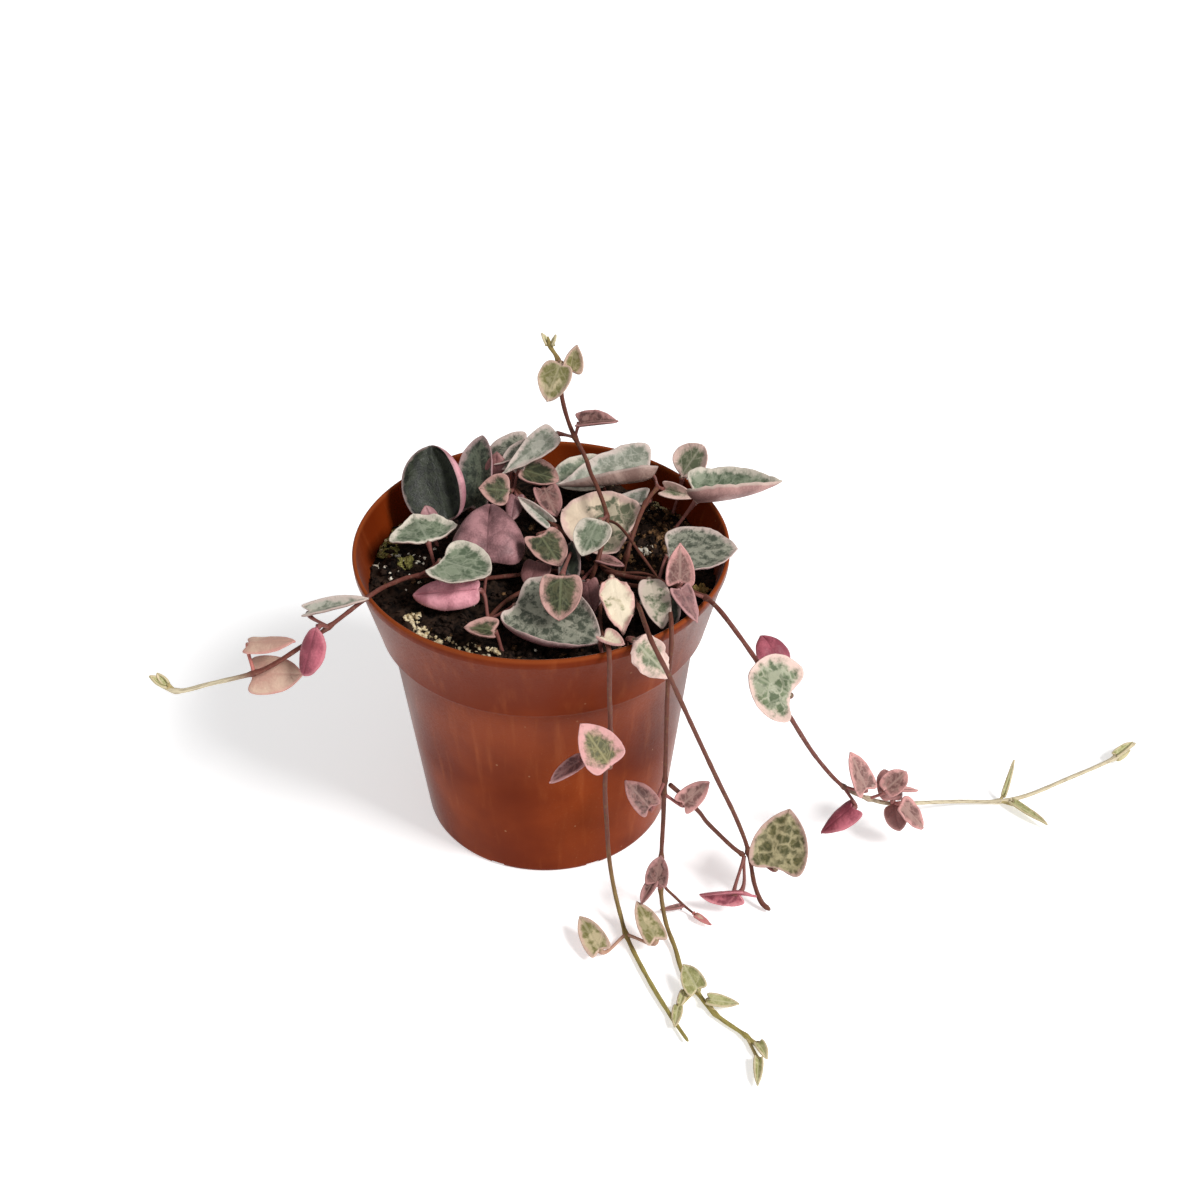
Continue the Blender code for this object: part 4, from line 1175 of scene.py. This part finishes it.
# The leaves that the solids have, then the smaller ones and the buds that they leave out.
sprig = partial(Leaf, node=False)
LEAVES = [
    Leaf("back_left_tall", BED, (-27, 13, 80.8), (-26.5, 17.5, 83.5), 111, 49, 6, 21.5, 22,
        Look.DARK, fold=12, point=0.1, lobe=0.2, hem=(10, 165), hem_share=0.55),
    Leaf("back_left_second", BED, (-19, 21, 80.8), (-20, 24.5, 83), 78, 52, 0, 20.5, 12, Look.SLATE,
        fold=20, point=0.3, hem=(15, 80)),
    Leaf("back_grey", BED, (-12, 31, 80.8), (-5.5, 35, 97), 192, -6, 12, 12.5, 10.5, Look.GREY,
        fold=4, curl=-30, point=0.4, wave=0.6),
    Leaf("back_spoon", "upright", 7, (3.5, 31.2, 103.3), -154, -27, 15, 19, 9, Look.PALE,
        hem=(30, 20), lobe=0.3, point=1.5),
    Leaf("back_olive", "back_left", 4, (-6.5, 27, 94), -8, -12, 0, 11, 13, Look.EDGED, fold=8,
        point=0.4, lobe=0.4),
    Leaf("young_olive", "back_left", 4, (-9.3, 20, 91.8), 180, 7, 45, 8.5, 9.3, Look.EDGED,
        slot="leaf_olive", point=0.9, lobe=0.2),
    Leaf("small_pink", "back_left", 3, (0.2, 22, 91.2), -66, -25, 0, 9.5, 7.5, Look.DUSTY),
    Leaf("left_pink_dome", BED, (-15, -13, 80.8), (-14, -9.5, 89.5), 90, 34, 180, 21.5, 20.5,
        Look.PINK, fold=14, curl=50, belly=0.14, point=0.85, lobe=0.4),
    Leaf("left_heart", "left", 4, (-25.5, -12.5, 92), -26, 0, 0, 14.5, 17.5, Look.NET, fold=5,
        lobe=0.6, point=0.5, wave=0.6),
    # This leaf lies in shade, so its finish is the pink painted lighter.
    Leaf("left_pink_low", "short_left", 4, (-15.5, -18.5, 87), 177, -8, -150, 17.5, 9.5, Look.LIT_PINK,
        fold=12, belly=0.14, point=0.3, lobe=0.3),
    Leaf("left_arrow", BED, (-28, -3, 80.8), (-30, -1, 90), 112, 0, 0, 13.5, 19.5, Look.NET, fold=0,
        lobe=0.1, point=1.3, neck=0.3, wave=0.8),
    Leaf("front_large", "short_left", 4, (-6, -25, 87), -34, 0, -24, 26, 20.5, Look.GREY, fold=14,
        hem=(30, 125), hem_share=0.32, lobe=0.4, point=0.5),
    Leaf("front_heart", "back_left", 1, (6, -26.6, 97.6), -94, -38, 0, 11.5, 11, Look.EDGED, fold=8,
        lobe=0.5, point=0.55, wave=0.5),
    Leaf("middle_edged", "back_left", 2, (-0.2, -4, 94), -55, -24, 0, 10.5, 11, Look.EDGED, fold=8,
        hem=(25, 40), point=0.6, wave=0.6),
    Leaf("middle_pale", "upright", 3, (15.4, -3, 98), -119, -29, 0, 11, 10.5, Look.NET, fold=5,
        hem=(30, 10), lobe=0.15, point=0.6),
    Leaf("middle_cream", "back_right", 1, (23.2, 4, 89), 152, 3, 22, 20.5, 20, Look.CREAM, fold=5,
        point=0.4, lobe=0.5, wave=0.8),
    Leaf("back_folded", "back_right", 4, (29.5, 28.5, 92), -170, -2, 2, 26.5, 20, Look.PALE,
        fold=24, hem=(140, 25), hem_share=0.5, point=1.5, lobe=0.6),
    Leaf("back_veined", BED, (17, 36, 80.8), (15, 37, 87), -163, 0, 30, 14, 12, Look.NET, fold=5,
        point=0.5),
    Leaf("curled_pink", "back_right", 4, (33.3, 20.2, 92.2), -30, 3, -48, 9.5, 6, Look.BLUSH,
        fold=40, slot="leaf_cream", wave=0.8),
    Leaf("back_right_small", BED, (36, 25, 80.8), (38.3, 28.5, 91), 38, 45, 0, 10.5, 13, Look.BLUSH,
        lobe=0.0, point=0.3, neck=0.5),
    Leaf("back_right_wide", BED, (34, 13, 80.8), (41.5, 14, 92.5), -3, 3, 14, 24, 23, Look.NET,
        fold=33, curl=28, hem=(15, 50), point=0.9, lobe=0.8),
    Leaf("right_large", "right", 3, (33.3, -9.4, 91.5), 1, 6, -3, 18, 19, Look.GREY, fold=8,
        wave=0.5, lobe=0.5, point=0.6),
    Leaf("right_heart_up", "right", 4, (35.7, -23.5, 93.3), 91, 62, 0, 10, 7.5, Look.MAUVE, fold=5,
        point=1.1, wave=0.5),
    Leaf("right_pink_tip", "right", 5, (35.5, -27, 93.8), -62, -27, 0, 10, 6, Look.PINK, point=1.2,
        wave=0.6),
    Leaf("front_white", "front_middle", 1, (28, -19.9, 91.5), -80, -10, 0, 17, 8.5, Look.MILKY,
        fold=20, point=0.3, lobe=0.15, wave=0.5),
    Leaf("front_cream", "front_right", 1, (18.4, -22.3, 94), -80, -17, 0, 17, 9.5, Look.IVORY,
        lobe=0.0, point=0.5, neck=0.3, hem=(20, 60), wave=1.6, frill=0.9),
    Leaf("over_rim", BED, (22, -34, 80.8), (23.7, -44, 91.2), -13, -48, -32, 14, 9.4, Look.BLUSH,
        fold=5, slot="leaf_cream", lobe=0.1, neck=0.3, wave=1.0, frill=1.0),
    Leaf("top_heart", "upright", 10, (5.3, 23, 129.8), -125, -52, 0, 10.5, 10, Look.OLIVE, fold=5,
        lobe=0.35, point=0.45),
    Leaf("top_folded", "upright", 7, (10, 25.5, 110), -5, 8, -20, 10.5, 7, Look.DUSTY, fold=40),
    Leaf("left_vine_long", "left", 7, (-57.5, -29.5, 88.4), 0, 16, -20, 16, 5.6, Look.PALE,
        fold=40),
    Leaf("left_vine_pink", "left", 7, (-53.8, -38.8, 91), -122, -56, 180, 12.6, 8, Look.ROSE,
        neck=0.6, point=0.05, lobe=0.0),
    Leaf("left_vine_upper", "left", 10, (-71.5, -38.1, 85.2), -5, 7, 180, 12, 7, Look.SHEER,
        belly=0.02),
    Leaf("left_vine_lower", "left", 10, (-71.5, -39.2, 76.2), -5, 4, 140, 13, 10.5, Look.SHEER,
        belly=0.02),
    Leaf("right_vine_pink", "right", 9, (60.8, -32, 73.5), 120, 62, 180, 9.5, 9.5, Look.ROSE,
        curl=75, belly=0.1),
    Leaf("right_vine_heart", "right", 9, (63, -44, 73.5), 176, 32, 30, 12.5, 17.5, Look.VINE,
        fold=5, lobe=0.85, point=0.3),
    Leaf("right_vine_low", "right", 12, (85.5, -31, 21), -160, -36, 180, 11.5, 7.5, Look.ROSE,
        wave=0.6),
    Leaf("right_vine_up", "right", 12, (88.8, -28.5, 25.5), 131, 52, 0, 11.5, 8, Look.MAUVE,
        slot="leaf_edged"),
    Leaf("right_vine_bud", "right", 13, (95, -25, 21.5), 29, 32, -20, 8, 7, Look.MAUVE, wave=0.8,
        lobe=0.4, point=0.3),
    Leaf("right_vine_last", "right", 14, (100, -25, 16.5), -23, -43, 0, 10, 8, Look.MAUVE, wave=0.9,
        lobe=0.5, point=0.3),
    Leaf("front_vine_heart", "front_left", 7, (17.9, -53.9, 58.6), 142, 44, 12, 13, 12,
        Look.FRINGED, lobe=0.35, wave=0.5),
    Leaf("front_vine_dark", "front_middle", 8, (28.6, -47.4, 37.4), 142, 32, 20, 9.6, 7.2,
        Look.DUSTY, wave=0.7),
    Leaf("front_vine_pair", "front_middle", 9, (37.3, -46.5, 37.8), 21, 38, -30, 9.2, 6.4,
        Look.MAUVE, wave=0.6),
    Leaf("front_vine_diamond", "front_middle", 11, (30.5, -52.5, 14), 75, 43, 0, 7.5, 6.5,
        Look.DUSTY, wave=0.8),
    Leaf("floor_left", "front_left", 13, (15.5, -66, 3), 121, 16, 20, 11, 7, Look.OLIVE),
    Leaf("floor_right", "front_left", 13, (30.3, -65, 6), 115, 15, 0, 12, 7, Look.OLIVE),
    Leaf("floor_large", "front_right", 10, (63, -47, 14), 70, 43, 0, 16.5, 16, Look.PATCH, fold=5,
        lobe=0.6, point=0.8),
    Leaf("floor_folded", "side_branch", 6, (53.5, -50, 7.5), 176, -8, 90, 11, 7, Look.ROSE,
        fold=40),
    sprig("sprig_purple_back", BED, (-13, 27, 80), (-13.6, 28.2, 88), 83, 69, 180, 9.7, 8,
        Look.DUSTY),
    sprig("sprig_pale_back", BED, (-10, 28, 80), (-9, 28.7, 93), 56, 49, 0, 9.2, 8, Look.GREY),
    sprig("sprig_lilac_tip", BED, (-29, 10, 80), (-30.2, 12.1, 87), 134, 57, 180, 4.8, 6,
        Look.PINK),
    sprig("sprig_front_olive", BED, (-9, -35, 80), (-10.9, -34, 86), 174, 4, 0, 7.6, 8, Look.EDGED),
    sprig("sprig_thin_pale", "back_left", 3, (2.2, 11.1, 87), 142, 19, 40, 12.3, 5, Look.PALE,
        fold=40),
    sprig("sprig_pink_bit", "back_left", 4, (-7.6, 20.2, 90), -100, -30, 180, 7.9, 5, Look.PINK),
    sprig("sprig_dark_base", BED, (13, -11, 80), (14, -13.2, 84), -111, -7, 0, 12.4, 9, Look.DARK),
    sprig("sprig_dark_upright", BED, (7, -11, 80), (7.4, -10.7, 86), 84, 41, 0, 9.2, 6, Look.DARK),
    sprig("sprig_dark_right", "right", 4, (31.3, -21.4, 87), -66, -20, 0, 8.9, 7, Look.DARK),
    sprig("sprig_pink_skirt", BED, (-1, -7, 80), (-0.8, -7.5, 87.5), -110, -25, 180, 7.5, 8,
        Look.DUSTY),
    sprig("sprig_purple_front", BED, (12, -16, 80), (12.4, -18.5, 89.5), -78, -30, 150, 9, 5.5,
        Look.DUSTY),
    sprig("sprig_brown_bit", "short_left", 0, (15.5, -8, 88.5), -25, 5, 0, 7, 4.5, Look.DUSTY,
        fold=30),
    sprig("sprig_pale_low", "back_right", 3, (28.6, 22.5, 88), 188, -6, 20, 10.5, 6, Look.PALE,
        fold=20),
    sprig("sprig_crumpled", BED, (17, -42, 80), (16.2, -44.2, 92), -41, 0, 0, 7, 6, Look.IVORY,
        fold=35, curl=30),
    sprig("sprig_top_curled", "upright", 10, (7.6, 24, 127), 78, 62, -30, 8.2, 7, Look.OLIVE,
        fold=35, curl=60),
    sprig("sprig_front_purple", "front_left", 7, (10.5, -51.5, 58), -158, -28, 0, 9.5, 5.5,
        Look.PINK),
    sprig("sprig_vine_dark", "front_middle", 12, (30, -51.6, 14), -130, -41, 0, 7, 4, Look.DUSTY,
        fold=30),
    sprig("sprig_floor_olive", "front_middle", 16, (40.8, -79.7, 4), 119, 15, 30, 7.7, 6.2),
    sprig("sprig_floor_yellow", "front_middle", 17, (43.6, -82.3, 3), -14, 5, -20, 7.8, 3.8,
        fold=25),
    sprig("sprig_floor_rose", "side_branch", 6, (52.7, -50, 7.5), -4, -8, 40, 5.5, 2.6, Look.ROSE,
        fold=30),
    sprig("sprig_cluster_top", "right", 14, (98.1, -23, 16), 95, 42, 160, 9.5, 8.5, Look.MAUVE,
        curl=40, lobe=0.4, point=0.3),
    sprig("sprig_cluster_side", "right", 14, (99.5, -22.5, 19.5), 5, -6, 0, 5.5, 2.2, Look.MAUVE,
        fold=30, lobe=0.4, point=0.3),
    sprig("sprig_cluster_low", "right", 14, (98.5, -22.5, 13.5), -82, -22, 160, 7.5, 6.5,
        Look.MAUVE, curl=30, lobe=0.4, point=0.3),
    sprig("bud_left_tip", "left", 12, (-92.8, -42.3, 75), 168, 12, 0, 5, 3.2, fold=35, curl=40),
    sprig("bud_left_side", "left", 12, (-92.8, -41.8, 75.4), 138, 30, 40, 3.6, 2.4, fold=35,
        curl=30),
    sprig("bud_top", "upright", 11, (1.7, 25.4, 134.4), 140, 55, 0, 3, 2, fold=35),
    sprig("bud_top_side", "upright", 11, (3.1, 24.9, 134.6), 20, 55, 0, 2.6, 1.8, fold=35, curl=30),
    sprig("bud_right_tip", "right", 20, (171.5, 8.8, 3.3), 38, 7, 0, 8, 3, fold=30),
    sprig("bud_right_under", "right", 20, (172, 8.4, 2.6), 33, 3, 180, 5.5, 2.2, fold=30),
    sprig("bud_right_upright", "right", 17, (134.6, -7.2, 2.8), 62, 50, 0, 11, 1.8, fold=30,
        curl=25),
    sprig("bud_right_front", "right", 17, (136.8, -10.2, 1.9), -47, 0, 0, 12, 3.2, fold=25),
    sprig("bud_floor_first", "front_middle", 16, (37.3, -78.9, 1.8), -109, 0, 0, 6, 2.4, fold=20),
    sprig("bud_floor_second", "front_middle", 16, (35.6, -83.6, 1.8), -100, 0, 0, 6.5, 3, fold=20),
    sprig("bud_end_first", "front_middle", 18, (55.4, -95.2, 1.9), -70, 5, 0, 5, 3.2, fold=30),
    sprig("bud_end_second", "front_middle", 18, (55, -99.8, 1.7), -96, 0, 0, 7.5, 2.8, fold=30),
    sprig("bud_shoot_left", BED, (38.4, -50.2, 2.6), (37.4, -50.6, 2.6), -172, -3, 0, 5.5, 1.8,
        Look.DUSTY, fold=20),
    sprig("bud_shoot_right", BED, (41, -52, 1.7), (41.8, -53, 1.8), -40, 0, 0, 5, 2.2, Look.SHEER,
        fold=20),
]


@dataclass
class Studio:
    """The camera, the pale floor and the soft lights."""

    target: tuple[float, float, float] = (15.5, 0.0, 69.5)
    distance: float = 436.5
    elevation: float = 37.7
    lens: float = 48.0
    sensor: float = 36.0
    floor_reach: float = 6.0
    floor_glow: float = 0.44
    surroundings: float = 0.32

    def camera(self) -> None:
        """Stand the camera in front of the pot, looking down on it."""
        data = bpy.data.cameras.new("camera")
        data.lens, data.sensor_width = self.lens, self.sensor
        data.clip_start, data.clip_end = 0.01, 50.0
        thing = placed("camera", data)
        tilt = math.radians(self.elevation)
        centre = Vector(self.target) * MM
        thing.location = centre + Vector((0, -math.cos(tilt), math.sin(tilt))) * self.distance * MM
        thing.rotation_euler = (centre - thing.location).to_track_quat("-Z", "Y").to_euler()
        bpy.context.scene.camera = thing

    def floor(self) -> None:
        """Lay a wide pale floor under the pot."""
        mesh = bpy.data.meshes.new("floor")
        far = self.floor_reach
        mesh.from_pydata([(-far, -far, 0), (far, -far, 0), (far, far, 0), (-far, far, 0)],
                         [], [(0, 1, 2, 3)])
        g = Graph("pale_floor", 0.6, 0.3)
        g.shader.inputs["Emission Color"].default_value = (1.0, 1.0, 1.0, 1.0)
        g.shader.inputs["Emission Strength"].default_value = self.floor_glow
        mesh.materials.append(g.finish(0xF7F8FA))
        placed("floor", mesh)

    def light(self, name: str, place: tuple, size: float, power: float, colour: tuple) -> None:
        """Hang one square soft light that faces the pot.

        Args:
            name: The light's name.
            place: Where it hangs, in m.
            size: Its side in m.
            power: Its power in W.
            colour: Its linear colour.
        """
        data = bpy.data.lights.new(name, "AREA")
        data.size, data.energy, data.color = size, power, colour
        thing = placed(name, data)
        thing.location = place
        facing = Vector((0, 0, 0.06)) - Vector(place)
        thing.rotation_euler = facing.to_track_quat("-Z", "Y").to_euler()

    def build(self) -> None:
        """Set up the camera, the floor, the lights and the pale surroundings."""
        self.camera()
        self.floor()
        self.light("key", (2.1, -1.2, 2.5), size=1.0, power=112.0, colour=(1.0, 0.99, 0.97))
        self.light("fill", (-0.9, -0.9, 0.8), size=1.2, power=3.5, colour=(1.0, 0.98, 0.95))
        world = bpy.data.worlds.new("surroundings")
        world.use_nodes = True
        ground = world.node_tree.nodes["Background"]
        ground.inputs["Color"].default_value = (1.0, 0.99, 0.98, 1.0)
        ground.inputs["Strength"].default_value = self.surroundings
        bpy.context.scene.world = world
        bpy.context.scene.view_settings.view_transform = "Standard"


def main() -> None:
    """Build the studio, the pot, the soil and the plant, piece by piece."""
    Studio().build()
    pot = Pot()
    pot.build(POT_FINISH.material("moulded_plastic", pot.band_bottom, pot.height))
    LOG.info("pot")
    bed = SoilBed()
    bed.build(SOIL_FINISH.material("potting_mix"))
    LOG.info("soil")
    for grains in GRAINS:
        grains.build(bed)
        LOG.info(grains.name)
    for stem in STEMS + SHOOTS:
        knots = {leaf.knot for leaf in LEAVES if "stem_" + leaf.stem == stem.name}
        stem.build(sorted(knots))
        LOG.info(stem.name)
    for leaf in LEAVES:
        leaf.build()
        LOG.info(leaf.name)


if __name__ == "__main__":
    main()
